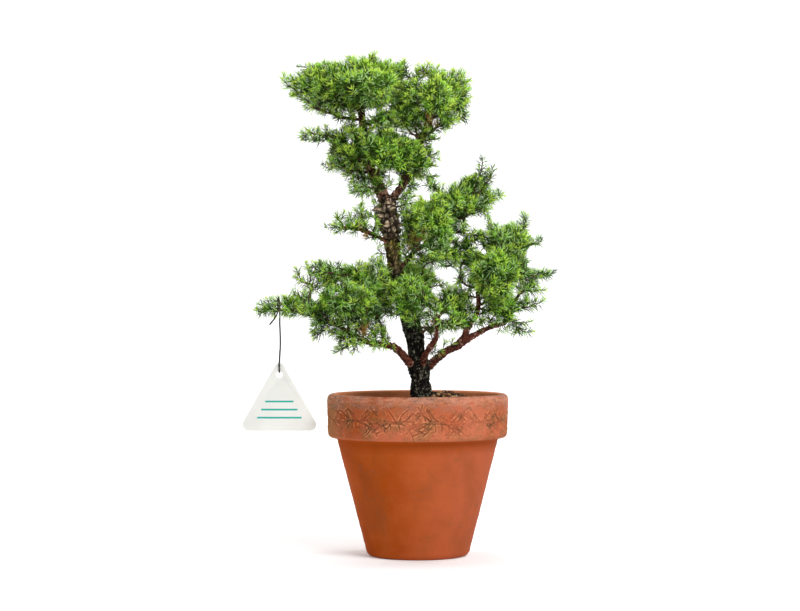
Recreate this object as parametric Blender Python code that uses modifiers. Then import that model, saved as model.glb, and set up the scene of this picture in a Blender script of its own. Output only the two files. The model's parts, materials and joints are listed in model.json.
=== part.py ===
"""A needle juniper bonsai in a turned terracotta pot, with a plain label on a wire.

Frame: metres, +Z up, the front is -Y, and the origin is the centre of the pot's flat underside.
Sizes below are in millimetres and are multiplied by MM where they are used.
"""

import math
import random

import bmesh
import bpy
from mathutils import Vector, noise

MM = 0.001
GAP = 0.35  # clearance between two pieces that touch

# Pot: a turned bowl with a deep rim band
POT_HEIGHT = 160.0
RIM_RADIUS = 90.0
RIM_DRAFT = 1.3  # the band leans in this much towards its lower edge
BAND_HEIGHT = 43.0
BAND_ROUND = 3.5
LIP_ROUND = 5.0
MOUTH_RADIUS = 81.0
MOUTH_ROUND = 3.0
BODY_TOP_RADIUS = 80.2
FOOT_RADIUS = 51.8
FOOT_ROUND = 6.5
WALL = 8.2
FLOOR = 9.0
FLOOR_CORNER = 5.0  # the slope where the floor meets the wall
MOUTH_FLARE = 2.0  # the mouth is this much wider than the hollow under it
MOUTH_FLARE_Z = 131.0
POT_SIDES = 36
DRAIN_RADIUS = 6.0
DRAIN_CIRCLE = 27.0
DRAIN_SIDES = 12
DRAINS = 3

# Soil: it fills the pot and is heaped beside the trunk
SOIL_EDGE_Z = 147.0
SOIL_EDGE_RADIUS = 80.0
SOIL_PLAY = 0.3  # it stands off the pot's wall by this
SOIL_RINGS = (66.0, 50.0, 34.0, 17.0)
SOIL_HEAP = 9.0
SOIL_HEAP_X = 24.0
SOIL_HEAP_Y = 6.0
SOIL_HEAP_WIDTH = 46.0
SOIL_ROUGHNESS = 1.2
SOIL_SIDES = 20
CUT_Z = 150.0  # the trunk's flat cut

# Label
LABEL_WIDTH = 73.0
LABEL_HEIGHT = 67.0
LABEL_THICK = 1.0
LABEL_CORNER = 6.0
LABEL_TOP_ROUND = 4.6
LABEL_HOLE_RADIUS = 3.4
LABEL_HOLE_DROP = 11.6
LABEL_X = -136.9
LABEL_Y = -9.0
LABEL_TOP_Z = 190.5
WIRE_RADIUS = 0.55
WIRE_PLAY = 0.3  # between the wire and the top of the label's hole
WIRE_STANDOFF = 0.5  # between the wire and the label's two faces
WIRE_CROWN_Z = 255.5  # the wire's highest point, over the twig

# Foliage masses
VOXEL = 3.6
MASS_TRIANGLES = 108
LOBE_STEP = 0.55  # distance between two lobes, as a share of their radius
LOBE_SHIFT = 0.22  # how far a lobe strays sideways, as a share of its radius
LOBE_DEPTH = 1.2  # a lobe's size front to back, as a share of its width
LOBE_HEIGHT = 0.9  # and its height
LOBE_TAPER = 1.2  # over 1, a shoot stays thick near its hub
FILL_SHOOTS = 5
FILL_TIP = 9.0  # radius at the tips of the masses that fill the crown
SWELL = 0.46  # a neighbour's cutter stands this much proud of it


# ---------------------------------------------------------------- scene and materials


def clear_scene():
    for item in list(bpy.data.objects):
        bpy.data.objects.remove(item, do_unlink=True)


def new_collection(name):
    collection = bpy.data.collections.new(name)
    bpy.context.scene.collection.children.link(collection)
    return collection


def material(name, colour, roughness):
    made = bpy.data.materials.new(name)
    made.use_nodes = True
    shader = made.node_tree.nodes["Principled BSDF"]
    shader.inputs["Base Color"].default_value = (*colour, 1.0)
    shader.inputs["Roughness"].default_value = roughness
    shader.inputs["Metallic"].default_value = 0.0
    made.diffuse_color = (*colour, 1.0)
    return made


clear_scene()
PARTS = new_collection("juniper_bonsai")
HELPERS = new_collection("cutters")
TERRACOTTA = material("terracotta", (0.42, 0.12, 0.05), 0.85)
SOIL = material("soil", (0.09, 0.05, 0.03), 0.95)
BARK = material("bark", (0.05, 0.035, 0.025), 0.9)
RED_BARK = material("red_bark", (0.16, 0.05, 0.03), 0.85)
NEEDLES = material("needles", (0.09, 0.25, 0.05), 0.7)
WIRE = material("wire", (0.05, 0.03, 0.03), 0.5)
LABEL = material("label_plastic", (0.82, 0.82, 0.78), 0.35)


def place(name, mesh, paint):
    """An object of the model, in the parts' collection and with its own material."""
    made = bpy.data.objects.new(name, mesh)
    mesh.materials.clear()
    mesh.materials.append(paint)
    mesh.shade_smooth()
    mesh.set_sharp_from_angle(angle=math.radians(40))
    PARTS.objects.link(made)
    return made


def helper(name, mesh):
    """A cutter or a guide, which is not part of the model."""
    made = bpy.data.objects.new(name, mesh)
    made.hide_render = True
    made.display_type = "WIRE"
    HELPERS.objects.link(made)
    return made


def evaluated_mesh(source):
    """The mesh that an object shows, with its modifiers applied and its points in world space."""
    bpy.context.view_layer.update()
    graph = bpy.context.evaluated_depsgraph_get()
    mesh = bpy.data.meshes.new_from_object(source.evaluated_get(graph))
    mesh.transform(source.matrix_world)
    return mesh


def weld(mesh):
    shape = bmesh.new()
    shape.from_mesh(mesh)
    bmesh.ops.remove_doubles(shape, verts=shape.verts, dist=0.00001)
    bmesh.ops.recalc_face_normals(shape, faces=shape.faces)
    shape.to_mesh(mesh)
    shape.free()
    return mesh


def keep_largest_piece(mesh):
    """A cut can leave a crumb beside the piece: only the largest body stays."""
    shape = bmesh.new()
    shape.from_mesh(mesh)
    left = set(shape.verts)
    bodies = []
    while left:
        body = [left.pop()]
        for vert in body:
            for edge in vert.link_edges:
                other = edge.other_vert(vert)
                if other in left:
                    left.remove(other)
                    body.append(other)
        bodies.append(body)
    bodies.sort(key=len, reverse=True)
    crumbs = [vert for body in bodies[1:] for vert in body]
    bmesh.ops.delete(shape, geom=crumbs, context="VERTS")
    shape.to_mesh(mesh)
    shape.free()
    return mesh


def boxes_meet(first, second):
    """True where the boxes of two meshes overlap."""
    for axis in range(3):
        a = [vert.co[axis] for vert in first.vertices]
        b = [vert.co[axis] for vert in second.vertices]
        if max(a) < min(b) or max(b) < min(a):
            return False
    return True


def cut(mesh, cutters):
    """The mesh less each cutter that its box meets."""
    for cutter in cutters:
        if not boxes_meet(mesh, cutter.data):
            continue
        body = helper("cut_body", mesh)
        knife = body.modifiers.new("cut", "BOOLEAN")
        knife.operation = "DIFFERENCE"
        knife.solver = "EXACT"
        knife.object = cutter
        mesh = keep_largest_piece(weld(evaluated_mesh(body)))
        bpy.data.objects.remove(body, do_unlink=True)
    return mesh


# ---------------------------------------------------------------- turned pieces


def arc(centre_r, centre_z, radius, start, end, steps):
    """Points of an arc in the turning plane, with angles in degrees from +X."""
    points = []
    for step in range(steps + 1):
        angle = math.radians(start + (end - start) * step / steps)
        points.append((centre_r + radius * math.cos(angle), centre_z + radius * math.sin(angle)))
    return points


def turned(name, profile, sides):
    """A closed solid turned round Z from a profile that starts and ends on the axis."""
    mesh = bpy.data.meshes.new(name)
    points = [(r * MM, 0.0, z * MM) for r, z in profile]
    mesh.from_pydata(points, [(i, i + 1) for i in range(len(points) - 1)], [])
    guide = helper(name + "_profile", mesh)
    screw = guide.modifiers.new("turn", "SCREW")
    screw.steps = sides
    screw.render_steps = sides
    screw.use_merge_vertices = True
    screw.merge_threshold = 0.00001
    solid = weld(evaluated_mesh(guide))
    bpy.data.objects.remove(guide, do_unlink=True)
    return solid


def body_radius(z):
    """The pot's outer radius below the band, at a height."""
    band_z = POT_HEIGHT - BAND_HEIGHT
    return FOOT_RADIUS + (BODY_TOP_RADIUS - FOOT_RADIUS) * (z - FOOT_ROUND) / (band_z - FOOT_ROUND)


def inner_profile(shrink):
    """The inside of the pot from its floor's centre up to its mouth, moved inwards by shrink."""
    band_z = POT_HEIGHT - BAND_HEIGHT
    corner_radius = body_radius(FLOOR + FLOOR_CORNER) - WALL
    return [
        (0.0, FLOOR + shrink),
        (corner_radius - FLOOR_CORNER - shrink, FLOOR + shrink),
        (corner_radius - shrink, FLOOR + FLOOR_CORNER + shrink),
        (body_radius(band_z) - WALL - shrink, band_z),
        (MOUTH_RADIUS - MOUTH_FLARE - shrink, MOUTH_FLARE_Z),
        (MOUTH_RADIUS - shrink, POT_HEIGHT - LIP_ROUND),
    ]


def make_pot():
    band_z = POT_HEIGHT - BAND_HEIGHT
    band_foot = RIM_RADIUS - RIM_DRAFT - BAND_ROUND
    lip = POT_HEIGHT - LIP_ROUND
    outside = arc(MOUTH_RADIUS + MOUTH_ROUND, POT_HEIGHT - MOUTH_ROUND, MOUTH_ROUND, 180, 90, 2)
    outside += arc(RIM_RADIUS - LIP_ROUND, lip, LIP_ROUND, 90, 0, 3)
    outside += arc(band_foot, band_z + BAND_ROUND, BAND_ROUND, 0, -90, 2)
    outside += [(body_radius(band_z), band_z)]
    outside += arc(FOOT_RADIUS - FOOT_ROUND, FOOT_ROUND, FOOT_ROUND, 0, -90, 3)
    outside += [(0.0, 0.0)]
    solid = turned("pot", inner_profile(0.0) + outside, POT_SIDES)
    drains = []
    for number in range(DRAINS):
        turn = math.radians(90 + 360 * number / DRAINS)
        bpy.ops.mesh.primitive_cylinder_add(
            vertices=DRAIN_SIDES,
            radius=DRAIN_RADIUS * MM,
            depth=4 * FLOOR * MM,
            location=(DRAIN_CIRCLE * MM * math.cos(turn), DRAIN_CIRCLE * MM * math.sin(turn), 0),
        )
        drill = bpy.context.object
        drains.append(helper("drain_drill", weld(evaluated_mesh(drill))))
        bpy.data.objects.remove(drill, do_unlink=True)
    return place("pot", cut(solid, drains), TERRACOTTA)


def soil_height(x, y):
    """The soil's top, in millimetres: level at the wall, heaped beside the trunk, and uneven."""
    reach = math.hypot(x - SOIL_HEAP_X, y - SOIL_HEAP_Y) / SOIL_HEAP_WIDTH
    heap = SOIL_HEAP * math.exp(-reach * reach)
    return SOIL_EDGE_Z + heap + SOIL_ROUGHNESS * noise.noise(Vector((x, y, 0.0)) * 0.06)


def make_soil(trunk_cutter):
    profile = inner_profile(SOIL_PLAY)[:-1]
    profile += [(r, SOIL_EDGE_Z) for r in (SOIL_EDGE_RADIUS, *SOIL_RINGS, 0.0)]
    solid = turned("soil", profile, SOIL_SIDES)
    for vert in solid.vertices:
        x, y, z = vert.co / MM
        if z > SOIL_EDGE_Z - 1.0 and math.hypot(x, y) < SOIL_RINGS[0] + 1.0:
            vert.co.z = soil_height(x, y) * MM
    return place("soil", cut(solid, [trunk_cutter]), SOIL)


# ---------------------------------------------------------------- limbs


def smooth_route(points, spacing):
    """Points along a smooth curve through the given (x, y, z, radius) rows."""
    rows = [Vector(row) for row in points]
    rows = [2 * rows[0] - rows[1]] + rows + [2 * rows[-1] - rows[-2]]
    route = [rows[1]]
    for a, b, c, d in zip(rows, rows[1:], rows[2:], rows[3:]):
        steps = max(1, round((c - b).to_3d().length / spacing))
        for step in range(1, steps + 1):
            t = step / steps
            bend = 2 * b + (c - a) * t + (2 * a - 5 * b + 4 * c - d) * t**2
            route.append((bend + (3 * b - a - 3 * c + d) * t**3) / 2)
    return route


def tube(name, route, sides, grow):
    """A round limb along a route of (x, y, z, radius) in millimetres, thicker and longer by grow."""
    data = bpy.data.curves.new(name, "CURVE")
    data.dimensions = "3D"
    data.bevel_depth = MM
    data.bevel_resolution = sides // 2 - 2
    data.use_fill_caps = True
    spline = data.splines.new("POLY")
    spline.points.add(len(route) - 1)
    ends = {0: route[0] - route[1], len(route) - 1: route[-1] - route[-2]}
    for number, row in enumerate(route):
        place_at = row.to_3d()
        if number in ends and grow:
            place_at = place_at + ends[number].to_3d().normalized() * grow
        spline.points[number].co = (*(place_at * MM), 1.0)
        spline.points[number].radius = row.w + grow
    guide = bpy.data.objects.new(name, data)
    HELPERS.objects.link(guide)
    mesh = weld(evaluated_mesh(guide))
    bpy.data.objects.remove(guide, do_unlink=True)
    return mesh


LIMB_CUTTERS = {}
MASS_CUTTERS = []


def make_limb(name, points, paint, parents=(), sides=8, spacing=14.0):
    """A tapering limb, cut to fit the limbs that it grows from, and its cutter for the foliage."""
    route = smooth_route(points, spacing)
    cutters = [LIMB_CUTTERS[parent] for parent in parents]
    mesh = cut(tube(name, route, sides, 0.0), cutters)
    LIMB_CUTTERS[name] = helper(name + "_cutter", tube(name + "_cutter", route, sides, GAP))
    return place(name, mesh, paint)


# Rows of (x, y, z, radius)
TRUNK = (
    (3.5, 0, CUT_Z, 12.6),
    (3.5, 0, 154.0, 11.4),
    (2.9, 0, 163.0, 9.6),
    (2.7, 0, 173.0, 9.0),
    (1.4, 0, 184.0, 9.6),
    (-0.7, 0, 197.0, 8.5),
    (-3.0, 1, 218.0, 8.6),
    (-9.5, 3, 237.0, 7.8),
    (-15.5, 5, 255.0, 7.4),
    (-21.5, 5, 276.0, 7.2),
    (-24.5, 4, 303.0, 7.2),
    (-26.5, 2, 317.0, 7.3),
    (-28.0, 1, 332.0, 8.8),
    (-29.0, 0, 345.0, 7.4),
    (-30.0, 0, 354.0, 8.2),
)
LEADER_LEFT = (
    (-31, 0, 349, 6.2),
    (-36, 0, 360, 5.6),
    (-41, 0, 371, 4.8),
    (-46, 1, 380, 4.2),
    (-51, 2, 392, 3.9),
    (-53, 4, 415, 3.5),
    (-55, 4, 434, 3.0),
    (-57, 4, 452, 2.4),
    (-58, 4, 464, 1.9),
)
LEADER_RIGHT = (
    (-28, 0, 349, 4.2),
    (-21, 0, 359, 4.0),
    (-16, 1, 364, 3.9),
    (-8, 2, 381, 3.8),
    (-1, 3, 402, 3.7),
    (2, 3, 410, 3.5),
    (8, 4, 422, 3.0),
    (13, 5, 434, 2.4),
    (17, 6, 448, 1.8),
)
BOUGH_LEFT = (
    (-1, -1, 187, 4.3),
    (-9, -5, 192, 4.3),
    (-18, -8, 202, 3.7),
    (-24, -9, 206.5, 3.0),
    (-34, -10, 209, 2.6),
    (-48, -10, 210.5, 2.3),
    (-62, -9, 217, 2.2),
    (-80, -7, 228, 1.9),
    (-97, -5, 236, 1.6),
)
BOUGH_RIGHT = (
    (3, 1, 180, 4.4),
    (13, 4, 189, 4.2),
    (21, 7, 195.5, 3.8),
    (29, 10, 202, 3.6),
    (38, 13, 206, 3.7),
    (45, 15, 211.5, 4.3),
    (53, 17, 216, 3.2),
    (62, 18, 220.5, 2.8),
    (72, 18, 225, 2.3),
    (88, 17, 230, 1.6),
)
BOUGH_RIGHT_UPPER = (
    (46, 15, 212, 3.4),
    (49, 15, 223, 3.5),
    (53, 14, 229, 3.0),
    (59, 12, 239, 2.5),
    (61, 10, 250, 2.2),
    (60, 8, 258, 2.0),
    (60, 6, 268, 1.6),
)
BOUGH_FRONT = (
    (5, -5, 188, 3.0),
    (6, -14, 196, 2.9),
    (11, -22, 205, 2.6),
    (16, -27, 212, 2.3),
    (18, -29, 216, 2.0),
    (19, -31, 225, 1.6),
    (17, -32, 234, 1.3),
)
BOUGH_MIDDLE_LEFT = (
    (-29, 0, 309, 2.1),
    (-36, -1, 314, 2.0),
    (-47, -2, 319, 1.8),
    (-60, -3, 323.5, 1.5),
    (-74, -4, 325, 1.2),
)
BOUGH_MIDDLE_RIGHT = (
    (-21, 2, 283, 2.7),
    (-10, 3, 294, 2.5),
    (-2, 5, 302, 2.2),
    (8, 8, 309, 2.0),
    (20, 10, 320, 1.7),
    (30, 12, 334, 1.4),
)
BOUGH_BACK = (
    (-9, 6, 236, 3.6),
    (-6, 22, 243, 3.0),
    (-2, 38, 252, 2.4),
    (3, 52, 262, 1.7),
)
BOUGH_LEFT_UPPER = (
    (-19, 2, 262, 3.4),
    (-30, -4, 268, 2.9),
    (-44, -9, 273, 2.3),
    (-60, -13, 276, 1.7),
)


def make_limbs():
    make_limb("trunk", TRUNK, BARK, sides=12, spacing=15.0)
    make_limb("leader_left", LEADER_LEFT, BARK, ["trunk"])
    make_limb("leader_right", LEADER_RIGHT, BARK, ["trunk", "leader_left"])
    make_limb("bough_left", BOUGH_LEFT, RED_BARK, ["trunk"])
    make_limb("bough_right", BOUGH_RIGHT, RED_BARK, ["trunk", "bough_left"])
    make_limb("bough_right_upper", BOUGH_RIGHT_UPPER, RED_BARK, ["bough_right"])
    make_limb("bough_front", BOUGH_FRONT, RED_BARK, ["trunk", "bough_right", "bough_left"])
    make_limb("bough_left_upper", BOUGH_LEFT_UPPER, RED_BARK, ["trunk"])
    make_limb("bough_middle_left", BOUGH_MIDDLE_LEFT, RED_BARK, ["trunk"])
    make_limb("bough_middle_right", BOUGH_MIDDLE_RIGHT, RED_BARK, ["trunk"])
    make_limb("bough_back", BOUGH_BACK, RED_BARK, ["trunk"])


# ---------------------------------------------------------------- foliage

# The masses that give the outline: name, hub (x, y, z), thickness at the hub, and shoots that
# spread from the hub in the plane of the front, each (degrees from +X, reach, radius at its tip)
PADS = (
    (
        "crown_left", (-75, -4, 461), 20,
        (
            (94, 30, 8), (127, 36, 8), (147, 49, 6), (171, 63, 5), (183, 58, 5),
            (208, 43, 4), (227, 38, 5), (261, 27, 7),
        ),
    ),
    (
        "crown_top", (-45, 4, 466), 21,
        (
            (30, 42, 7), (56, 30, 7), (92, 35, 6), (131, 45, 5), (238, 35, 7),
            (295, 18, 6), (356, 31, 7),
        ),
    ),
    (
        "crown_right", (28, 4, 454), 16,
        (
            (2, 30, 5), (41, 35, 5), (62, 33, 6), (99, 32, 7), (120, 39, 6), (220, 28, 7),
            (267, 34, 6), (323, 31, 5),
        ),
    ),
    (
        "crown_middle", (-12, 0, 444), 13,
        (
            (66, 32, 8), (104, 32, 7), (212, 38, 5), (250, 28, 7), (302, 31, 7),
        ),
    ),
    (
        "neck_left", (-61, 0, 400), 15,
        (
            (58, 26, 7), (104, 35, 6), (148, 43, 4), (165, 61, 4), (184, 31, 6),
            (210, 42, 4), (242, 30, 6), (259, 40, 5), (282, 45, 5),
        ),
    ),
    (
        "neck_right", (-14, 2, 398), 15,
        (
            (2, 33, 6), (28, 34, 5), (134, 28, 7), (273, 40, 4), (294, 40, 5),
            (329, 42, 4),
        ),
    ),
    (
        "middle_left", (-53, -2, 330), 8,
        (
            (34, 20, 4), (103, 24, 4), (154, 23, 4), (190, 44, 4), (202, 28, 4),
            (283, 16, 4),
        ),
    ),
    (
        "upper_right_inner", (0, 2, 326), 15,
        (
            (71, 43, 4), (89, 27, 7), (131, 27, 7), (242, 38, 6), (287, 29, 7),
        ),
    ),
    (
        "upper_right_outer", (37, 6, 347), 15,
        (
            (11, 50, 4.5), (39, 54, 3.5), (54, 29, 6), (54, 55, 3.5), (101, 26, 7),
            (135, 32, 4), (231, 26, 8), (299, 23, 6), (346, 36, 5),
        ),
    ),
    (
        "right_upper", (34, 6, 303), 11,
        (
            (22, 37, 4), (35, 22, 5), (121, 23, 7), (197, 41, 6), (223, 24, 6),
            (306, 27, 5), (346, 33, 8),
        ),
    ),
    (
        "right_outer", (90, 6, 293), 18,
        (
            (28, 37, 3.5), (64, 48, 4), (83, 42, 4), (112, 53, 4), (188, 16, 9),
            (255, 31, 10), (303, 33, 7), (320, 47, 4), (343, 48, 4), (352, 16, 6),
        ),
    ),
    (
        "right_lower", (80, 8, 249), 14,
        (
            (0, 49, 4), (150, 28, 8), (233, 30, 6), (307, 40, 4), (327, 43, 4),
            (337, 31, 5),
        ),
    ),
    (
        "right_inner", (38, -4, 249), 12,
        (
            (57, 33, 6), (129, 25, 5), (180, 26, 7), (223, 35, 5), (291, 28, 5),
        ),
    ),
    (
        "centre", (0, 0, 269), 12,
        (
            (52, 26, 5), (129, 25, 6), (252, 25, 8), (315, 28, 7),
        ),
    ),
    (
        "centre_front", (-10, -30, 257), 16,
        (
            (80, 24, 9), (154, 26, 10), (246, 24, 6), (284, 43, 5), (352, 30, 8),
        ),
    ),
    (
        "left_inner", (-53, -8, 257), 18,
        (
            (43, 38, 8), (62, 42, 5), (99, 39, 6), (231, 41, 8), (267, 44, 6),
            (297, 43, 5), (340, 36, 7),
        ),
    ),
    (
        "left_upper", (-86, -6, 279), 11,
        (
            (21, 23, 6), (109, 15, 5), (162, 30, 4), (179, 36, 4), (205, 36, 4),
        ),
    ),
    (
        "left_outer", (-95, -8, 245), 13,
        (
            (27, 26, 6), (133, 28, 4), (155, 39, 5), (170, 55, 4.5), (184, 65, 5),
            (236, 24, 5), (254, 35, 4), (286, 29, 5),
        ),
    ),
    (
        "left_low", (-64, -10, 213), 6,
        (
            (184, 11, 3), (221, 22, 3), (284, 12, 3),
        ),
    ),
    (
        "right_low", (27, 5, 203), 5,
        (
            (31, 15, 3), (118, 10, 2.5), (216, 18, 2.5),
        ),
    ),
)

# The masses that fill the crown in front and behind: name, hub, thickness, and how far the
# shoots spread sideways, forwards or back, and upwards
FILLS = (
    ("crown_front", (-49, -28, 460), 17, (31, -20, 18)),
    ("crown_back", (-52, 30, 465), 18, (35, 22, 22)),
    ("crown_right_back", (21, 32, 461), 15, (20, 14, 18)),
    ("crown_right_front", (18, -22, 451), 14, (18, -14, 19)),
    ("neck_front", (-27, -24, 398), 15, (28, -16, 22)),
    ("neck_back", (-32, 26, 404), 16, (34, 21, 22)),
    ("upper_right_back", (23, 36, 338), 17, (31, 20, 24)),
    ("upper_right_front", (14, -20, 333), 15, (22, -20, 24)),
    ("right_back", (74, 44, 285), 18, (32, 22, 28)),
    ("right_front", (75, -22, 276), 17, (24, -26, 25)),
    ("centre_back", (-7, 62, 269), 18, (33, 20, 23)),
    ("left_front", (-70, -38, 253), 15, (28, -18, 19)),
    ("left_back", (-68, 28, 265), 17, (33, 24, 20)),
)


def add_lobe(shape, centre, radius):
    made = bmesh.ops.create_icosphere(shape, subdivisions=2, radius=radius * MM)
    bmesh.ops.scale(shape, vec=(1.0, LOBE_DEPTH, LOBE_HEIGHT), verts=made["verts"])
    bmesh.ops.translate(shape, vec=centre * MM, verts=made["verts"])


def add_shoot(shape, hub, tip, thick, end, chance):
    """Lobes in a row that taper from the hub's thickness to the tip's, each strayed a little."""
    length = max((tip - hub).length - end, 0.1)
    ahead = (tip - hub).normalized()
    at = 0.0
    while at <= length:
        share = at / length
        radius = thick + (end - thick) * share**LOBE_TAPER
        stray = Vector([chance.uniform(-1, 1) for _ in range(3)]) * (1 - share)
        centre = hub + ahead * at + stray * radius * LOBE_SHIFT
        add_lobe(shape, centre, radius * chance.uniform(0.9, 1.1))
        at += radius * LOBE_STEP


def grown_together(name, hub, thick, tips, chance):
    """One closed skin round the shoots from a hub to each (tip, radius), thinned to few triangles."""
    shape = bmesh.new()
    for tip, end in tips:
        add_shoot(shape, hub, tip, thick, end, chance)
    mesh = bpy.data.meshes.new(name)
    shape.to_mesh(mesh)
    shape.free()
    guide = helper(name + "_lobes", mesh)
    skin = guide.modifiers.new("skin", "REMESH")
    skin.mode = "VOXEL"
    skin.voxel_size = VOXEL * MM
    dense = evaluated_mesh(guide)
    dense.calc_loop_triangles()
    thin = guide.modifiers.new("thin", "DECIMATE")
    thin.ratio = min(1.0, MASS_TRIANGLES / len(dense.loop_triangles))
    thin.use_collapse_triangulate = True
    skinned = keep_largest_piece(weld(evaluated_mesh(guide)))
    bpy.data.objects.remove(guide, do_unlink=True)
    return skinned


def swollen(name, mesh):
    """A copy that stands proud of the mesh all round, which cuts its neighbours clear of it."""
    copy = mesh.copy()
    for vert in copy.vertices:
        vert.co += vert.normal * SWELL * MM
    return helper(name, copy)


def make_mass(name, hub, thick, tips, seed):
    """One uneven body of needles, cut round the limbs and the masses already made."""
    chance = random.Random(seed)
    whole = grown_together(name, Vector(hub), thick, tips, chance)
    cutters = list(LIMB_CUTTERS.values()) + MASS_CUTTERS
    MASS_CUTTERS.append(swollen(name + "_swollen", whole))
    return place(name, cut(whole, cutters), NEEDLES)


def outline_tips(hub, shoots):
    """The tips of shoots that spread in the plane of the front."""
    tips = []
    for degrees, reach, end in shoots:
        turn = math.radians(degrees)
        tips.append((Vector(hub) + Vector((math.cos(turn), 0, math.sin(turn))) * reach, end))
    return tips


def filling_tips(hub, spread):
    """The tips of shoots that fan out evenly, forwards or back."""
    wide, forward, high = spread
    tips = []
    for number in range(FILL_SHOOTS):
        turn = 2 * math.pi * (number + 0.25) / FILL_SHOOTS
        across = Vector((wide * math.cos(turn), forward, high * math.sin(turn)))
        tips.append((Vector(hub) + across, FILL_TIP))
    return tips


def make_foliage():
    for number, (name, hub, thick, shoots) in enumerate(PADS):
        make_mass(name, hub, thick, outline_tips(hub, shoots), seed=number)
    for number, (name, hub, thick, spread) in enumerate(FILLS):
        make_mass(name, hub, thick, filling_tips(hub, spread), seed=100 + number)


# ---------------------------------------------------------------- label


def hinge_height():
    """Where the wire turns in the label's hole: the axis that the label swings on."""
    return LABEL_TOP_Z - LABEL_HOLE_DROP + LABEL_HOLE_RADIUS - WIRE_RADIUS - WIRE_PLAY


def make_wire():
    """One wire: a tail, up over the twig, down behind it, then through the label's hole and back up."""
    turn_z = hinge_height()
    off = LABEL_THICK / 2 + WIRE_RADIUS + WIRE_STANDOFF
    front = LABEL_Y - off
    back = LABEL_Y + off
    wire = [
        (LABEL_X - 9.5, -10, 228.5),
        (LABEL_X - 5, -11, 234),
        (LABEL_X - 1.5, -10.5, 241),
        (LABEL_X - 1.5, -9.0, 248),
        (LABEL_X - 1.5, -5.5, 253.5),
        (LABEL_X - 1.2, -1.0, WIRE_CROWN_Z),
        (LABEL_X - 0.8, 4.0, 252.5),
        (LABEL_X - 0.6, 6.8, 246),
        (LABEL_X - 0.5, 6.0, 239),
        (LABEL_X - 0.3, 2.5, 234),
        (LABEL_X, -2.5, 229.5),
        (LABEL_X + 0.6, -6.5, 221),
        (LABEL_X + 1.0, -9.0, 210),
        (LABEL_X + 0.6, front, 199),
        (LABEL_X, front, 190),
        (LABEL_X, front, turn_z + 1.2),
        (LABEL_X, LABEL_Y, turn_z),
        (LABEL_X, back, turn_z + 1.2),
        (LABEL_X, back, 190),
        (LABEL_X + 0.4, back + 0.6, 203),
    ]
    route = smooth_route([(*row, WIRE_RADIUS) for row in wire], 5.0)
    mesh = tube("label_wire", route, 8, 0.0)
    LIMB_CUTTERS["label_wire"] = helper("wire_cutter", tube("wire_cutter", route, 8, GAP))
    return place("label_wire", mesh, WIRE)


def rounded_outline(circles, steps):
    """The outline round three circles (x, z, radius), given anticlockwise."""
    points = []
    for number, circle in enumerate(circles):
        x, z, radius = circle
        before = circles[number - 1]
        after = circles[(number + 1) % len(circles)]
        starts = []
        for a, b in ((before, circle), (circle, after)):
            run = math.atan2(b[1] - a[1], b[0] - a[0])
            lean = math.asin((a[2] - b[2]) / math.hypot(b[0] - a[0], b[1] - a[1]))
            starts.append(run - math.pi / 2 + lean)
        sweep = (starts[1] - starts[0]) % (2 * math.pi)
        for step in range(steps + 1):
            angle = starts[0] + sweep * step / steps
            points.append((x + radius * math.cos(angle), z + radius * math.sin(angle)))
    return points


def make_label():
    """A flat rounded triangle with one hole, whose origin is on the axis that it swings on."""
    hole_z = LABEL_TOP_Z - LABEL_HOLE_DROP
    axis_z = hinge_height()
    base_z = LABEL_TOP_Z - LABEL_HEIGHT - axis_z
    side = LABEL_WIDTH / 2 - LABEL_CORNER
    outline = rounded_outline(
        [
            (-side, base_z + LABEL_CORNER, LABEL_CORNER),
            (side, base_z + LABEL_CORNER, LABEL_CORNER),
            (0.0, LABEL_TOP_Z - axis_z - LABEL_TOP_ROUND, LABEL_TOP_ROUND),
        ],
        6,
    )
    hole = arc(0.0, hole_z - axis_z, LABEL_HOLE_RADIUS, 0, 337.5, 15)
    data = bpy.data.curves.new("label", "CURVE")
    data.dimensions = "2D"
    data.fill_mode = "BOTH"
    data.extrude = LABEL_THICK / 2 * MM
    for ring in (outline, hole):
        spline = data.splines.new("POLY")
        spline.use_cyclic_u = True
        spline.points.add(len(ring) - 1)
        for point, (x, z) in zip(spline.points, ring):
            point.co = (x * MM, z * MM, 0.0, 1.0)
    guide = bpy.data.objects.new("label_outline", data)
    HELPERS.objects.link(guide)
    guide.rotation_euler = (math.pi / 2, 0, 0)
    mesh = weld(evaluated_mesh(guide))
    bpy.data.objects.remove(guide, do_unlink=True)
    label = place("label", mesh, LABEL)
    label.location = (LABEL_X * MM, LABEL_Y * MM, axis_z * MM)
    return label


make_limbs()
make_wire()
make_pot()
make_soil(LIMB_CUTTERS["trunk"])
make_label()
make_foliage()
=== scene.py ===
# %% [markdown]
# # A needle juniper bonsai in a terracotta pot
#
# The tree is about half a metre tall with its pot. It has a dark, flaky trunk that leans to the
# left and forks, red-brown boughs, and loose pads of sharp needles in whorls of three. A turned
# pot with an incised frieze holds it, and a plain label hangs from its lowest left-hand bough.
#
# Everything is built around a packed model of the same tree, which is loaded first. It says where
# each piece is, so that nothing has to be fitted afterwards.

# %% Load the frame
import json
import math

import bpy
import numpy as np
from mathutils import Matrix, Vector
from mathutils.bvhtree import BVHTree


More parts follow.
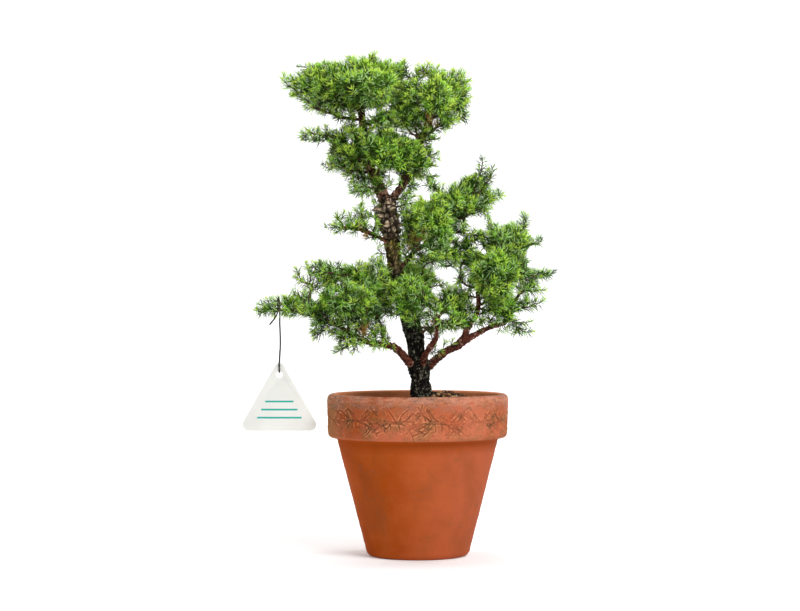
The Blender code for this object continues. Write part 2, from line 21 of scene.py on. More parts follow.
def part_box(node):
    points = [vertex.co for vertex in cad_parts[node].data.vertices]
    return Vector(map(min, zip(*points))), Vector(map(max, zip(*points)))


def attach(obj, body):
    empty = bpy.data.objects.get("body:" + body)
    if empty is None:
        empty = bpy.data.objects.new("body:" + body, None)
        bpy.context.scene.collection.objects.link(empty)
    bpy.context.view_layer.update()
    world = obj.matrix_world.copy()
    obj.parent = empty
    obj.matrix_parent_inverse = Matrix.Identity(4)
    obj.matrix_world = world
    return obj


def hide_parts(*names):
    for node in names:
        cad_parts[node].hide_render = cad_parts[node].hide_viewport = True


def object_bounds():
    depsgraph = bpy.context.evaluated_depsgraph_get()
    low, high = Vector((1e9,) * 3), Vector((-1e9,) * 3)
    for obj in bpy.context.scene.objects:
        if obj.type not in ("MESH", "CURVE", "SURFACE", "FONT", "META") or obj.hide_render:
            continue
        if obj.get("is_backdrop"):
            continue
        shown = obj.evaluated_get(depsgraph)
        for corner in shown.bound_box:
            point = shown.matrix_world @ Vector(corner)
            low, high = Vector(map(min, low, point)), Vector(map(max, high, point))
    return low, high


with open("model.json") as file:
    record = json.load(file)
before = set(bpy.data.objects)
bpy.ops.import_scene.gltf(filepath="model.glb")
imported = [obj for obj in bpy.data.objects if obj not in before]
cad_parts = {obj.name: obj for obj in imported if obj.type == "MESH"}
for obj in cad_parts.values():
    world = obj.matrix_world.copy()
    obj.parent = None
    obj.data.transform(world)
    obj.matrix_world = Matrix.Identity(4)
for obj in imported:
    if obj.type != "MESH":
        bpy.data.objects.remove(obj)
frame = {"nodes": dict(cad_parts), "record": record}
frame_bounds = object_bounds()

MM = 0.001
PLANT = "plant"  # the body that carries everything but the label
NODES = frame["nodes"]
SLOT_OF = {row["node"]: row["material_slot"] for row in frame["record"]["subparts"]}
OLD_LIMBS = [name for name in NODES if SLOT_OF[name] == "bark"]
BOUGHS = [name for name in NODES if SLOT_OF[name] == "red_bark"]
MASSES = [name for name in NODES if SLOT_OF[name] == "needles"]
print(f"{len(OLD_LIMBS)} old limbs, {len(BOUGHS)} boughs and {len(MASSES)} masses of needles")

# %% [markdown]
# ## Camera
#
# A level camera two metres away looks straight at the front, at half the plant's height, so that
# the pot's sides hardly converge. A short telephoto lens does that; a wide lens close up would
# show much more of the soil and make the rim bulge.

# %% Camera
CAMERA_X = -17.6
CAMERA_Z = 247.4
CAMERA_DISTANCE = 2000.0
LENS = 90.6

bpy.ops.object.camera_add(
    location=(CAMERA_X * MM, -CAMERA_DISTANCE * MM, CAMERA_Z * MM),
    rotation=(math.pi / 2, 0, 0),
)
camera = bpy.context.object
camera.data.lens = LENS
bpy.context.scene.camera = camera


def as_seen(points):
    """Where points (in mm) fall on the plane of the trunk when the camera looks at them."""
    scale = CAMERA_DISTANCE / (CAMERA_DISTANCE + points[:, 1])
    x = CAMERA_X + (points[:, 0] - CAMERA_X) * scale
    z = CAMERA_Z + (points[:, 2] - CAMERA_Z) * scale
    return np.stack([x, z], axis=1)


print("camera", CAMERA_DISTANCE, "mm in front,", CAMERA_Z, "mm up")

# %% [markdown]
# ## Materials
#
# Every finish is a Principled shader. A few small functions put noise, ramps and bump in front of
# it, all read from Object coordinates, so that a pattern keeps its real size and stays on its
# piece. Most finishes are then painted as a real surface comes about: a ground colour, and thin
# coats over it of dirt, wear and growth, each covering only its own share of the surface. Some
# coats are painted light and shade instead: a lit side, shade under parts and in cracks and
# grooves, and highlights.

# %% Material helpers
class Finish:
    """A Principled material, with helpers for the nodes before its shader."""

    def __init__(self, name, colour, roughness, specular=0.5):
        self.mat = bpy.data.materials.new(name)
        self.mat.use_nodes = True
        self.mat.diffuse_color = (*colour, 1.0)
        self.shader = self.mat.node_tree.nodes["Principled BSDF"].inputs
        self.feed(self.shader["Specular IOR Level"], specular)
        self.paint(colour, roughness)

    def feed(self, socket, value):
        """Links an input to another node's output, or sets it to a number or a colour."""
        if isinstance(value, bpy.types.NodeSocket):
            self.mat.node_tree.links.new(value, socket)
        else:
            socket.default_value = (*value, 1.0) if socket.type == "RGBA" else value

    def node(self, kind, inputs, **settings):
        """The outputs of a new node, made with these settings and fed with these inputs."""
        made = self.mat.node_tree.nodes.new("ShaderNode" + kind)
        for name, value in settings.items():
            setattr(made, name, value)
        for name, value in inputs.items():
            self.feed(made.inputs[name], value)
        return made.outputs

    def coordinates(self, stretch=(1, 1, 1)):
        """Object coordinates, squeezed along each axis by stretch."""
        place = self.node("TexCoord", {})["Object"]
        return self.node("Mapping", {"Vector": place, "Scale": stretch})["Vector"]

    def attribute(self, name):
        return self.node("Attribute", {}, attribute_name=name)["Fac"]

    def cloud(self, size, detail=4.0, rough=0.55, warp=0.0, stretch=(1, 1, 1)):
        """Noise whose blotches are about as wide as size, in mm."""
        return self.node("TexNoise", {
            "Vector": self.coordinates(stretch), "Scale": 1.0 / (size * MM),
            "Detail": detail, "Roughness": rough, "Distortion": warp,
        })["Fac"]

    def grains(self, size):
        """How far away the nearest of many grains is, when they lie about size apart, in mm."""
        inputs = {"Vector": self.coordinates(), "Scale": 1.0 / (size * MM)}
        return self.node("TexVoronoi", inputs)["Distance"]

    def between(self, value, low, high, start=0.0, end=1.0):
        """The value spread from low..high to start..end, and held at both ends."""
        return self.node("MapRange", {
            "Value": value, "From Min": low, "From Max": high, "To Min": start, "To Max": end,
        })["Result"]

    def along(self, axis, low, high):
        """0 before low along an axis, 1 after high, both in mm."""
        split = self.node("SeparateXYZ", {0: self.node("TexCoord", {})["Object"]})
        return self.between(split[axis], low * MM, high * MM)

    def times(self, share, *others):
        for other in others:
            share = self.node("Math", {0: share, 1: other}, operation="MULTIPLY")[0]
        return share

    def coats(self, ground, *layers):
        """The ground colour under layers, each given as its colour and the shares it covers."""
        for colour, *shares in layers:
            inputs = {"Factor": self.times(*shares), 6: ground, 7: colour}
            ground = self.node("Mix", inputs, data_type="RGBA")[2]
        return ground

    def paint(self, colour, roughness=None):
        self.feed(self.shader["Base Color"], colour)
        if roughness is not None:
            self.feed(self.shader["Roughness"], roughness)

    def emboss(self, height, depth, strength=1.0):
        """Bump from a height of 0 to 1 that stands for depth, in mm."""
        inputs = {"Height": height, "Distance": depth * MM, "Strength": strength}
        self.feed(self.shader["Normal"], self.node("Bump", inputs)["Normal"])

    def cover(self, item):
        item.data.materials.append(self.mat)


print("helpers:", *(name for name in vars(Finish) if not name.startswith("_")))

# %% [markdown]
# ## Studio
#
# The plant stands on a white sweep: a floor that curves up into a wall, with no line between
# them. A bent plane does it: the far edge is extruded back and up round an arc. The floor runs
# far out to the front and the sides, so that it fills the view from any other side as well. The
# light is that of a product studio, a large soft key from the front right, a weaker fill from the
# left, and two lamps that keep the sweep white.

# %% Sweep
FLOOR_BACK = 2.2  # the sweep's sizes are in metres
FLOOR_HALF = (45.0, 23.6)
SWEEP_RADIUS = 1.2
ARC_STEPS = 16
WALL_HEIGHT = 3.0


def deselect_all():
    bpy.ops.object.select_all(action="DESELECT")


def make_active(item):
    deselect_all()
    item.select_set(True)
    bpy.context.view_layer.objects.active = item


def edit(item, mode, action):
    """Goes into edit mode to pick by VERT, EDGE or FACE, with all of them selected or none."""
    make_active(item)
    bpy.ops.object.mode_set(mode="EDIT")
    bpy.ops.mesh.select_mode(type=mode)
    bpy.ops.mesh.select_all(action=action)


def done():
    bpy.ops.object.mode_set(mode="OBJECT")


def face_outwards(item):
    edit(item, "FACE", "SELECT")
    bpy.ops.mesh.normals_make_consistent(inside=False)
    done()


def settle(item, name):
    """Names a piece and puts its place into its mesh."""
    make_active(item)
    item.name = name
    item.data.name = name
    bpy.ops.object.transform_apply(location=True, rotation=True, scale=True)
    return item


bpy.ops.mesh.primitive_plane_add(size=2.0, location=(0, FLOOR_BACK - FLOOR_HALF[1], 0))
sweep = bpy.context.object
sweep.scale = (*FLOOR_HALF, 1.0)
settle(sweep, "studio_sweep")
edit(sweep, "EDGE", "DESELECT")
done()
for edge in sweep.data.edges:
    edge.select = all(sweep.data.vertices[i].co.y > 0 for i in edge.vertices)
bpy.ops.object.mode_set(mode="EDIT")
for step in range(ARC_STEPS):
    before = math.pi / 2 * step / ARC_STEPS
    after = math.pi / 2 * (step + 1) / ARC_STEPS
    back = SWEEP_RADIUS * (math.sin(after) - math.sin(before))
    up = SWEEP_RADIUS * (math.cos(before) - math.cos(after))
    bpy.ops.mesh.extrude_region_move(TRANSFORM_OT_translate={"value": (0, back, up)})
bpy.ops.mesh.extrude_region_move(TRANSFORM_OT_translate={"value": (0, 0, WALL_HEIGHT)})
done()
face_outwards(sweep)
sweep.data.shade_smooth()
sweep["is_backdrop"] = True

paper = Finish("white_paper", (0.93, 0.93, 0.93), 0.9)
paper.feed(paper.shader["Emission Color"], (1.0, 1.0, 1.0))
paper.feed(paper.shader["Emission Strength"], 0.10)
paper.cover(sweep)
print("sweep of", len(sweep.data.polygons), "faces")

# %% Lights
CROWN = (0.0, 0.0, 0.28)
LAMPS = (  # name, place and target in metres, size in metres and watts
    ("key", (0.95, -1.35, 1.45), CROWN, 1.1, 39),
    ("fill", (-1.3, -1.5, 0.7), CROWN, 1.2, 4),
    ("top", (-0.1, 0.25, 1.5), CROWN, 0.8, 8),
    ("sweep_left", (-1.6, 1.2, 2.0), (-0.3, 3.0, 0.6), 1.5, 40),
    ("sweep_right", (1.6, 1.2, 2.0), (0.3, 3.0, 0.6), 1.5, 40),
)
for name, place, target, size, watts in LAMPS:
    bpy.ops.object.light_add(type="AREA", location=place)
    lamp = bpy.context.object
    lamp.name = name
    lamp.data.size = size
    lamp.data.energy = watts
    lamp.rotation_euler = (Vector(target) - Vector(place)).to_track_quat("-Z", "Y").to_euler()

world = bpy.data.worlds.new("studio_air")
world.use_nodes = True
air = world.node_tree.nodes["Background"].inputs
air["Color"].default_value = (1.0, 1.0, 1.0, 1.0)
air["Strength"].default_value = 0.14
bpy.context.scene.world = world
bpy.context.scene.view_settings.view_transform = "Standard"
print("lamps:", *(row[0] for row in LAMPS))

# %% [markdown]
# ## Pot
#
# The pot is thrown: a tapering body with a deep upright band at its rim. Stacked rings or a lathe
# tool could make it; here one profile is drawn point by point and turned round the axis with a
# Screw modifier, as on a wheel. It turns finely enough for the frieze to be pressed in afterwards.

# %% Profile and spin
POT_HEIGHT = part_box("pot")[1].z / MM
RIM_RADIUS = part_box("pot")[1].x / MM
BAND_Z = POT_HEIGHT - 43.0
RIM_DRAFT = 1.3
BODY_TOP_RADIUS = 80.2
FOOT_RADIUS = 51.8
MOUTH_RADIUS = 81.0
FOOT_ROUND = 6.5
BAND_ROUND = 4.0
RIM_ROUND = 5.0
LIP_ROUND = 3.0
WALL = 8.2
FLOOR = 9.0
UNDERCUT = 3.0  # how far below the band the body ends
POT_STEPS = 740
SEAM = 0.01  # points of a spun piece that lie closer than this become one


def straight(start, end, spacing):
    """Points from start up to end, without end itself, about spacing apart."""
    count = max(1, round(math.dist(start, end) / spacing))
    return [
        tuple(a + (b - a) * step / count for a, b in zip(start, end)) for step in range(count)
    ]


def round_turn(r, z, radius, start, end, steps):
    """Points of an arc, with angles in degrees from the direction away from the axis."""
    turns = [math.radians(start + (end - start) * step / steps) for step in range(steps + 1)]
    return [(r + radius * math.cos(turn), z + radius * math.sin(turn)) for turn in turns]


def body_radius(z):
    """The outside of the tapering body at a height."""
    rise = (BODY_TOP_RADIUS - FOOT_RADIUS) * (z - FOOT_ROUND)
    return FOOT_RADIUS + rise / (BAND_Z - FOOT_ROUND)


def pot_outline():
    """From the middle of the underside, up the outside, over the rim and down the inside."""
    foot = FOOT_RADIUS - FOOT_ROUND
    outline = straight((0.0, 0.0), (foot, 0.0), 12.0)
    outline += round_turn(foot, FOOT_ROUND, FOOT_ROUND, -90, 0, 7)[:-1]
    neck = (body_radius(BAND_Z - UNDERCUT), BAND_Z - UNDERCUT)
    outline += straight((FOOT_RADIUS, FOOT_ROUND), neck, 4.0)
    outline += [neck, (neck[0] + 0.9, BAND_Z - 0.9), (neck[0] + 2.4, BAND_Z)]
    band_foot = RIM_RADIUS - RIM_DRAFT
    outline += round_turn(band_foot - BAND_ROUND, BAND_Z + BAND_ROUND, BAND_ROUND, -80, 0, 6)[:-1]
    shoulder = (RIM_RADIUS, POT_HEIGHT - RIM_ROUND)
    outline += straight((band_foot, BAND_Z + BAND_ROUND), shoulder, 0.7)
    outline += round_turn(RIM_RADIUS - RIM_ROUND, shoulder[1], RIM_ROUND, 0, 90, 8)
    outline += round_turn(MOUTH_RADIUS + LIP_ROUND, POT_HEIGHT - LIP_ROUND, LIP_ROUND, 90, 180, 6)
    ledge = (MOUTH_RADIUS - 2.0, BAND_Z + 14.0)
    outline += straight((MOUTH_RADIUS, POT_HEIGHT - RIM_ROUND), ledge, 5.0)
    waist = (body_radius(BAND_Z) - WALL, BAND_Z)
    outline += straight(ledge, waist, 7.0)
    corner = (body_radius(FLOOR) - WALL, FLOOR + 5.0)
    outline += straight(waist, corner, 14.0)
    outline += [corner, (corner[0] - 4.0, FLOOR)]
    outline += straight((corner[0] - 5.0, FLOOR), (0.0, FLOOR), 12.0)[1:] + [(0.0, FLOOR)]
    return outline


def shaped_by(item, kind, **settings):
    """Gives a piece a modifier with these settings, and applies it."""
    made = item.modifiers.new(kind.lower(), kind)
    for name, value in settings.items():
        setattr(made, name, value)
    make_active(item)
    bpy.ops.object.modifier_apply(modifier=made.name)


def spun(name, outline, steps):
    """A closed solid of revolution, turned from a profile of (radius, height) in mm."""
    bpy.ops.mesh.primitive_plane_add(size=0.01)
    made = bpy.context.object
    edit(made, "VERT", "SELECT")
    bpy.ops.mesh.merge(type="CENTER")
    first = Vector((outline[0][0], 0.0, outline[0][1])) * MM
    bpy.ops.transform.translate(value=first)
    for (r0, z0), (r1, z1) in zip(outline, outline[1:]):
        step = Vector((r1 - r0, 0.0, z1 - z0)) * MM
        bpy.ops.mesh.extrude_vertices_move(TRANSFORM_OT_translate={"value": step})
    done()
    shaped_by(
        made, "SCREW", steps=steps, render_steps=steps,
        use_merge_vertices=True, merge_threshold=SEAM * MM,
    )
    face_outwards(made)
    made.data.shade_smooth()
    return settle(made, name)


pot = spun("pot_fired", pot_outline(), POT_STEPS)
print("pot:", len(pot.data.polygons), "faces")

# %% [markdown]
# ## Frieze
#
# A band of needle sprays runs round the rim: along a broken rule, sets of slanting strokes rise
# and fall. It was cut by hand, so each of the thirteen sprays differs a little, and years have
# worn it. Each stroke is a slightly bowed line on the unrolled band, and every vertex of the band
# is pushed in by how near it lies to one. Bump alone would vanish at the edge of the pot.

# %% Strokes of the frieze
MOTIFS = 13
MOTIF_WIDTH = 2 * math.pi * RIM_RADIUS / MOTIFS
FRIEZE_Z = 136.0
FRIEZE_REACH = 16.0  # pits and chips fade out this far above and below the frieze
FRIEZE_SEED = 77
STROKE_WIDTH = 0.6
STROKE_DEPTH = 0.95
STROKE_SWAY = 8.0  # how unsteady the angles are, in degrees
BURR = 0.45  # the height and the width of the raised edge beside a stroke
BURR_AWAY = 1.25
RULES = ((0.7, 0.8), (-0.9, 0.5))  # height above the frieze's middle, and share of a motif
STROKE_SETS = (  # first start, step along, how many, degrees and length
    (-19.0, 3.0, 7, 132, 16.0),
    (2.0, 3.4, 6, 45, 17.0),
    (2.0, 3.4, 6, -33, 21.0),
    (-4.0, -3.4, 6, -146, 21.0),
    (-20.0, 7.0, 6, -80, 10.0),
)
FAR = 99.0  # farther away than any stroke


def ray(degrees, near, far, bow):
    """Points of a stroke that leaves the motif's centre at an angle, bowed sideways a little."""
    turn = math.radians(degrees)
    along = np.linspace(0.0, 1.0, 7)[:, None]
    ahead = np.array([math.cos(turn), math.sin(turn)])
    aside = np.array([-ahead[1], ahead[0]])
    return ahead * (near + (far - near) * along) + aside * bow * np.sin(math.pi * along)


def motif_strokes(chance):
    """One motif: a broken rule with slanting strokes above and below it."""
    half = MOTIF_WIDTH / 2
    strokes = []
    for level, length in RULES:
        begin = chance.uniform(-half, half * (1 - 2 * length) + 4.0)
        drift = chance.normal(0, 0.5)
        strokes.append(np.array([[begin, level], [begin + 2 * half * length, level + drift]]))
    for first, step, count, degrees, length in STROKE_SETS:
        for number in range(count):
            turn = degrees + chance.normal(0, STROKE_SWAY)
            far = length * chance.uniform(0.6, 1.15)
            stroke = ray(turn, 2.0, far, chance.normal(0, 1.2))
            strokes.append(stroke + (first + step * number + chance.normal(0, 0.9), 0.0))
    return strokes


def distance_to(places, strokes):
    """The distance from each (across, up) place to the nearest stroke."""
    best = np.full(len(places), FAR)
    for stroke in strokes:
        for a, b in zip(stroke, stroke[1:]):
            run = b - a
            share = np.clip((places - a) @ run / max(run @ run, 1e-9), 0, 1)[:, None]
            best = np.minimum(best, np.linalg.norm(places - a - run * share, axis=1))
    return best


print(MOTIFS, "motifs, each", round(MOTIF_WIDTH, 1), "mm wide")


# %% Noise and cells for shaping
def scrambled(cell, seed):
    """A repeatable random number from 0 to 1 for each whole-numbered cell."""
    mixed = cell[:, 0] * 73856093 ^ cell[:, 1] * 19349663 ^ cell[:, 2] * 83492791 ^ seed * 7919
    for shift, factor in ((13, 1274126177), (15, 668265263)):
        mixed = (mixed ^ (mixed >> shift)) * factor & 0xFFFFFFFF
    return (mixed ^ (mixed >> 16) & 0xFFFF) % 65536 / 65535.0


def grid_steps(*sides):
    """Every step to a neighbouring cell that uses these numbers along each axis."""
    return [np.array([x, y, z]) for x in sides for y in sides for z in sides]


CORNERS = grid_steps(0, 1)
AROUND = grid_steps(-1, 0, 1)


def lumps(points, size, seed):
    """Soft noise from -1 to 1 at each point, whose lumps are about size across, in mm."""
    grid = points / size + 0.37 * seed
    cell = np.floor(grid).astype(np.int64)
    part = grid - cell
    part = part * part * (3 - 2 * part)
    total = np.zeros(len(points))
    for corner in CORNERS:
        weight = np.prod(np.where(corner == 1, part, 1 - part), axis=1)
        total += weight * (2 * scrambled(cell + corner, seed) - 1)
    return total


def plates(points, size, seed):
    """How deep each point lies inside its cell, 0 at an edge, and the cell's random number."""
    grid = points / np.asarray(size)
    cell = np.floor(grid).astype(np.int64)
    nearest = np.full(len(points), 9.0)
    second = nearest.copy()
    owner = np.zeros(len(points))
    for step in AROUND:
        other = cell + step
        centre = other + np.stack([scrambled(other, seed + axis) for axis in range(3)], axis=1)
        away = np.linalg.norm(grid - centre, axis=1)
        closer = away < nearest
        second = np.where(closer, nearest, np.minimum(second, away))
        owner = np.where(closer, scrambled(other, seed + 3), owner)
        nearest = np.where(closer, away, nearest)
    return second - nearest, owner


sample = lumps(np.linspace(0, 50, 90).reshape(-1, 3), 5.0, 1)
print("lumps from", round(sample.min(), 2), "to", round(sample.max(), 2))


# %% Press the frieze into the band
def points_of(mesh):
    """A mesh's vertices as an array, in mm."""
    flat = np.empty(len(mesh.vertices) * 3)
    mesh.vertices.foreach_get("co", flat)
    return flat.reshape(-1, 3) / MM


def set_points(mesh, points):
    mesh.vertices.foreach_set("co", (points * MM).ravel())
    mesh.update()


def give_attribute(item, name, values):
    """Stores a number on each vertex, for the material to read."""
    made = item.data.attributes.new(name, "FLOAT", "POINT")
    made.data.foreach_set("value", values.astype(np.float32))


def nearest_cut(band):
    """How far each point of the band lies from the nearest stroke of any motif."""
    turn = np.arctan2(band[:, 0], -band[:, 1]) / (2 * math.pi) * MOTIFS
    up = band[:, 2] - FRIEZE_Z + 0.9 * lumps(band, 14.0, 2)
    sway = 1.2 * lumps(band, 9.0, 1)
    chance = np.random.default_rng(FRIEZE_SEED)
    near = np.full(len(band), FAR)
    for number in range(MOTIFS):
        local = ((turn - number) % MOTIFS - 0.5) * MOTIF_WIDTH + sway
        local = np.where(local > MOTIF_WIDTH * (MOTIFS - 1), local - MOTIF_WIDTH * MOTIFS, local)
        close = np.abs(local) < MOTIF_WIDTH * 0.8
        drawn = np.stack([local, up], axis=1)[close]
        near[close] = np.minimum(near[close], distance_to(drawn, motif_strokes(chance)))
    return near


def band_relief(band):
    """How deep each point of the band is pressed in, where 1 is a full stroke."""
    near = nearest_cut(band)
    worn = np.clip(0.85 + 0.8 * lumps(band, 16.0, 3) + 0.9 * lumps(band, 4.0, 8), 0.04, 1.0)
    groove = np.clip(1.0 - near / STROKE_WIDTH, 0, 1) ** 0.6
    burr = BURR * np.exp(-(((near - BURR_AWAY) / BURR) ** 2))
    pits = np.clip(lumps(band, 1.7, 4) - 0.38, 0, 1) * np.clip(lumps(band, 22.0, 5) + 0.7, 0.15, 1)
    chips, _ = plates(band, (5.5, 5.5, 4.0), 15)
    chips = np.clip(1.0 - chips / 0.09, 0, 1) * np.clip(1.6 * lumps(band, 15.0, 16), 0, 0.7)
    pits = (1.7 * pits + chips) * np.exp(-(((band[:, 2] - FRIEZE_Z) / FRIEZE_REACH) ** 2))
    return worn * (groove - burr) + pits + 0.14 * lumps(band, 3.0, 7)


BAND_SKIN = 6.5  # the band's face lies within this of the rim's radius
# Painted light: this value paints the lip and the inside of the mouth paler.
LIT_MOUTH = -0.4  # what the lip and the mouth get in place of a hollow
INSIDE = 0.3  # how uneven the inside is, next to the outside
points = points_of(pot.data)
radius = np.hypot(points[:, 0], points[:, 1])
outer = radius > body_radius(np.clip(points[:, 2], FOOT_ROUND, BAND_Z)) - 1.0
on_band = (radius > RIM_RADIUS - BAND_SKIN) & (points[:, 2] > BAND_Z + 0.5)
hollows = np.zeros(len(points))
hollows[on_band] = band_relief(points[on_band])
points[on_band, :2] *= (1.0 - STROKE_DEPTH * hollows[on_band] / radius[on_band])[:, None]
hollows[~on_band & (points[:, 2] > BAND_Z + 10.0)] = LIT_MOUTH
rings = 0.12 * np.sin(points[:, 2] * 1.1 + 1.3 * np.sin(points[:, 2] * 0.31))
uneven = lumps(points, 60.0, 6) * 0.5 + rings * (radius < RIM_RADIUS - 6)
uneven[~outer] *= INSIDE
points[:, :2] *= (1.0 + uneven / np.maximum(radius, 20.0))[:, None]
set_points(pot.data, points)
give_attribute(pot, "weather", on_band)
give_attribute(pot, "hollow", hollows)
print("frieze pressed into", int(on_band.sum()), "points")

# %% [markdown]
# ## Terracotta
#
# Fired clay is orange where it is clean, paler and pinker where salts have dried on it, and grey
# or olive where algae have grown, above all on the band, which stays damp. Soft noise of several
# sizes mixes those colours. Light and shade are painted in too: the right side is paler as the lit
# side, and a strip under the band and the band's left side are darker as painted shade. The
# grooves of the frieze are darker with dirt and painted shade, and the raised edges beside them,
# the lip and the inside of the mouth are paler as painted light: the material reads how deep each
# vertex was pressed in, which was kept as an attribute.

# %% Terracotta finish
clay = Finish("terracotta_fired", (0.50, 0.11, 0.035), 0.78, 0.06)
broad = clay.cloud(60, 2.0)
middle = clay.cloud(14, 5.0, 0.6, 0.3)
smudge = clay.cloud(30, 3.0, 0.5, stretch=(1, 1, 0.7))
scuff = clay.cloud(9, 5.0, 0.7, stretch=(1, 1, 2.5))
damp = clay.cloud(17, 7.0, 0.72, stretch=(1, 1, 1.2))
ashen = clay.cloud(24, 3.0, 0.6, stretch=(1, 1, 2.0))
streak = clay.cloud(9, 6.0, 0.75, stretch=(1, 1, 3.0))
band = clay.attribute("weather")
hollow = clay.attribute("hollow")
rim = clay.along("Z", POT_HEIGHT - 10.0, POT_HEIGHT - 5.0)
clay.paint(clay.coats(
    (0.345, 0.056, 0.001),
    ((0.41, 0.075, 0.007), clay.between(broad, 0.38, 0.62)),
    # Painted light: the right side paler, as the lit side; then pale bloom, smudges and scuffs.
    ((0.400, 0.091, 0.037), clay.along("X", -35, 45)),
    ((0.46, 0.108, 0.033), clay.between(middle, 0.40, 0.75, 0, 0.4)),
    ((0.25, 0.064, 0.016), clay.between(smudge, 0.50, 0.78, 0, 0.6)),
    ((0.13, 0.07, 0.035), clay.between(scuff, 0.56, 0.72),
     clay.between(smudge, 0.46, 0.60, 0.05, 0.6)),
    # Painted shade: a darker, redder strip under the band's overhang.
    ((0.30, 0.048, 0.001), clay.along("Z", BAND_Z - 14, BAND_Z - 3),
     clay.along("Z", BAND_Z + 5, BAND_Z + 1), clay.between(band, 0.5, 0.0, 0, 0.75)),
    # Salts and algae on the band, painted shade on its left side, and its ashen parts.
    ((0.52, 0.152, 0.080), clay.between(broad, 0.40, 0.56, 0.1, 0.75), band),
    ((0.25, 0.130, 0.050), clay.between(damp, 0.45, 0.66, 0, 0.7), band),
    # Painted shade: the band's left side painted darker, in patches.
    ((0.335, 0.150, 0.055), clay.along("X", -72, -86),
     clay.between(middle, 0.3, 0.55, 0.4, 0.9), band),
    ((0.25, 0.16, 0.12), clay.along("Z", POT_HEIGHT - 16, POT_HEIGHT - 9),
     clay.between(ashen, 0.42, 0.62, 0, 0.7), band),
    # The lip, rubbed and stained in streaks.
    ((0.60, 0.27, 0.17), rim, clay.between(streak, 0.42, 0.60, 0, 0.7)),
    ((0.15, 0.085, 0.06), rim, clay.between(streak, 0.42, 0.32, 0, 0.7)),
    # Dirt and painted shade in grooves, painted light on their edges and in the mouth, dark specks.
    ((0.100, 0.048, 0.026), clay.between(hollow, 0.15, 1.0),
     clay.between(damp, 0.38, 0.60, 0.3, 0.9)),
    # Painted highlight on the raised edges beside the strokes, and painted light on the lip and
    # inside the mouth.
    ((0.68, 0.25, 0.11), clay.between(hollow, -0.05, LIT_MOUTH, 0, 0.7)),
    ((0.05, 0.03, 0.02), clay.between(clay.grains(2.3), 0.26, 0.14),
     clay.between(damp, 0.40, 0.52), band),
), clay.between(middle, 0.3, 0.7, 0.70, 0.88))
clay.emboss(clay.cloud(2.0, 3.0), 0.35, 0.6)
clay.cover(pot)
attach(pot, PLANT)
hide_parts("pot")
print("terracotta:", len(clay.mat.node_tree.nodes), "nodes")

# %% [markdown]
# ## Soil and mulch
#
# The mix is dark and damp, heaped beside the trunk. A square grid could be cut to a circle for its
# surface, but a spun disc meets the round wall evenly; it is dropped onto the packed soil by a ray
# at each vertex, and roughened. Loose bits lie on it: chips of bark, pale and dark, and grains of
# pumice. Each kind is one joined mesh, dealt out by a seeded chance, which keeps the scene light.

# %% Reading the packed solids
def merged(name):
    """A packed node's corners, in mm and each only once, and its triangles."""
    mesh = NODES[name].data
    mesh.calc_loop_triangles()
    corners = np.empty(len(mesh.loop_triangles) * 3, np.int32)
    mesh.loop_triangles.foreach_get("vertices", corners)
    points, index = np.unique(np.round(points_of(mesh), 3), axis=0, return_inverse=True)
    return points, index.reshape(-1)[corners].reshape(-1, 3)


def search_tree(name):
    """A tree that finds the nearest face of a packed node."""
    points, triangles = merged(name)
    return BVHTree.FromPolygons(points.tolist(), triangles.tolist(), all_triangles=True)


def mesh_piece(name, points, triangles, smooth=True):
    """A new piece from arrays of points, in mm, and of triangles."""
    mesh = bpy.data.meshes.new(name)
    mesh.vertices.add(len(points))
    mesh.vertices.foreach_set("co", (points * MM).ravel())
    mesh.loops.add(triangles.size)
    mesh.loops.foreach_set("vertex_index", triangles.astype(np.int32).ravel())
    mesh.polygons.add(len(triangles))
    mesh.polygons.foreach_set("loop_start", np.arange(0, triangles.size, 3, dtype=np.int32))
    mesh.update(calc_edges=True)
    if smooth:
        mesh.shade_smooth()
    made = bpy.data.objects.new(name, mesh)
    bpy.context.scene.collection.objects.link(made)
    return made


def joined(name, shapes, smooth=True):
    """Many small shapes, each of points and triangles, as one piece."""
    counts = np.cumsum([0] + [len(points) for points, _ in shapes])
    triangles = np.concatenate([faces + start for (_, faces), start in zip(shapes, counts)])
    return mesh_piece(name, np.concatenate([points for points, _ in shapes]), triangles, smooth)


packed_soil = search_tree("soil")
print("packed soil:", len(merged("soil")[1]), "triangles")

# %% Soil
SOIL_RADIUS = MOUTH_RADIUS - 1.2
SOIL_Z = 147.0
SOIL_STEPS = 220
soil_outline = straight((0.0, SOIL_Z), (SOIL_RADIUS, SOIL_Z), 1.4)
soil_outline += [(SOIL_RADIUS, SOIL_Z), (SOIL_RADIUS - 1.5, BAND_Z + 13.0)]
soil_outline += [(body_radius(BAND_Z) - WALL - 0.5, BAND_Z)]
soil_outline += [(body_radius(FLOOR) - WALL - 4.0, FLOOR + 0.5), (0.0, FLOOR + 0.5)]
soil = spun("soil_top", soil_outline[::-1], SOIL_STEPS)
soil_points = points_of(soil.data)
top = np.flatnonzero(soil_points[:, 2] > SOIL_Z - 1.0)


def soil_height(x, y):
    """The packed soil's top under a place; a place over the trunk's foot reads the nearest face."""
    hit = packed_soil.ray_cast(Vector((x, y, 200.0)), Vector((0, 0, -1)))[0]
    if hit is None or hit.z < SOIL_Z - 4.0:
        return packed_soil.find_nearest(Vector((x, y, SOIL_Z + 4.0)))[0].z
    return hit.z


for index in top:
    soil_points[index, 2] = soil_height(soil_points[index, 0], soil_points[index, 1])
crumbs = lumps(soil_points, 5.0, 11) * 0.8 + lumps(soil_points, 2.2, 12) * 0.7
soil_points[top, 2] += crumbs[top]
set_points(soil.data, soil_points)

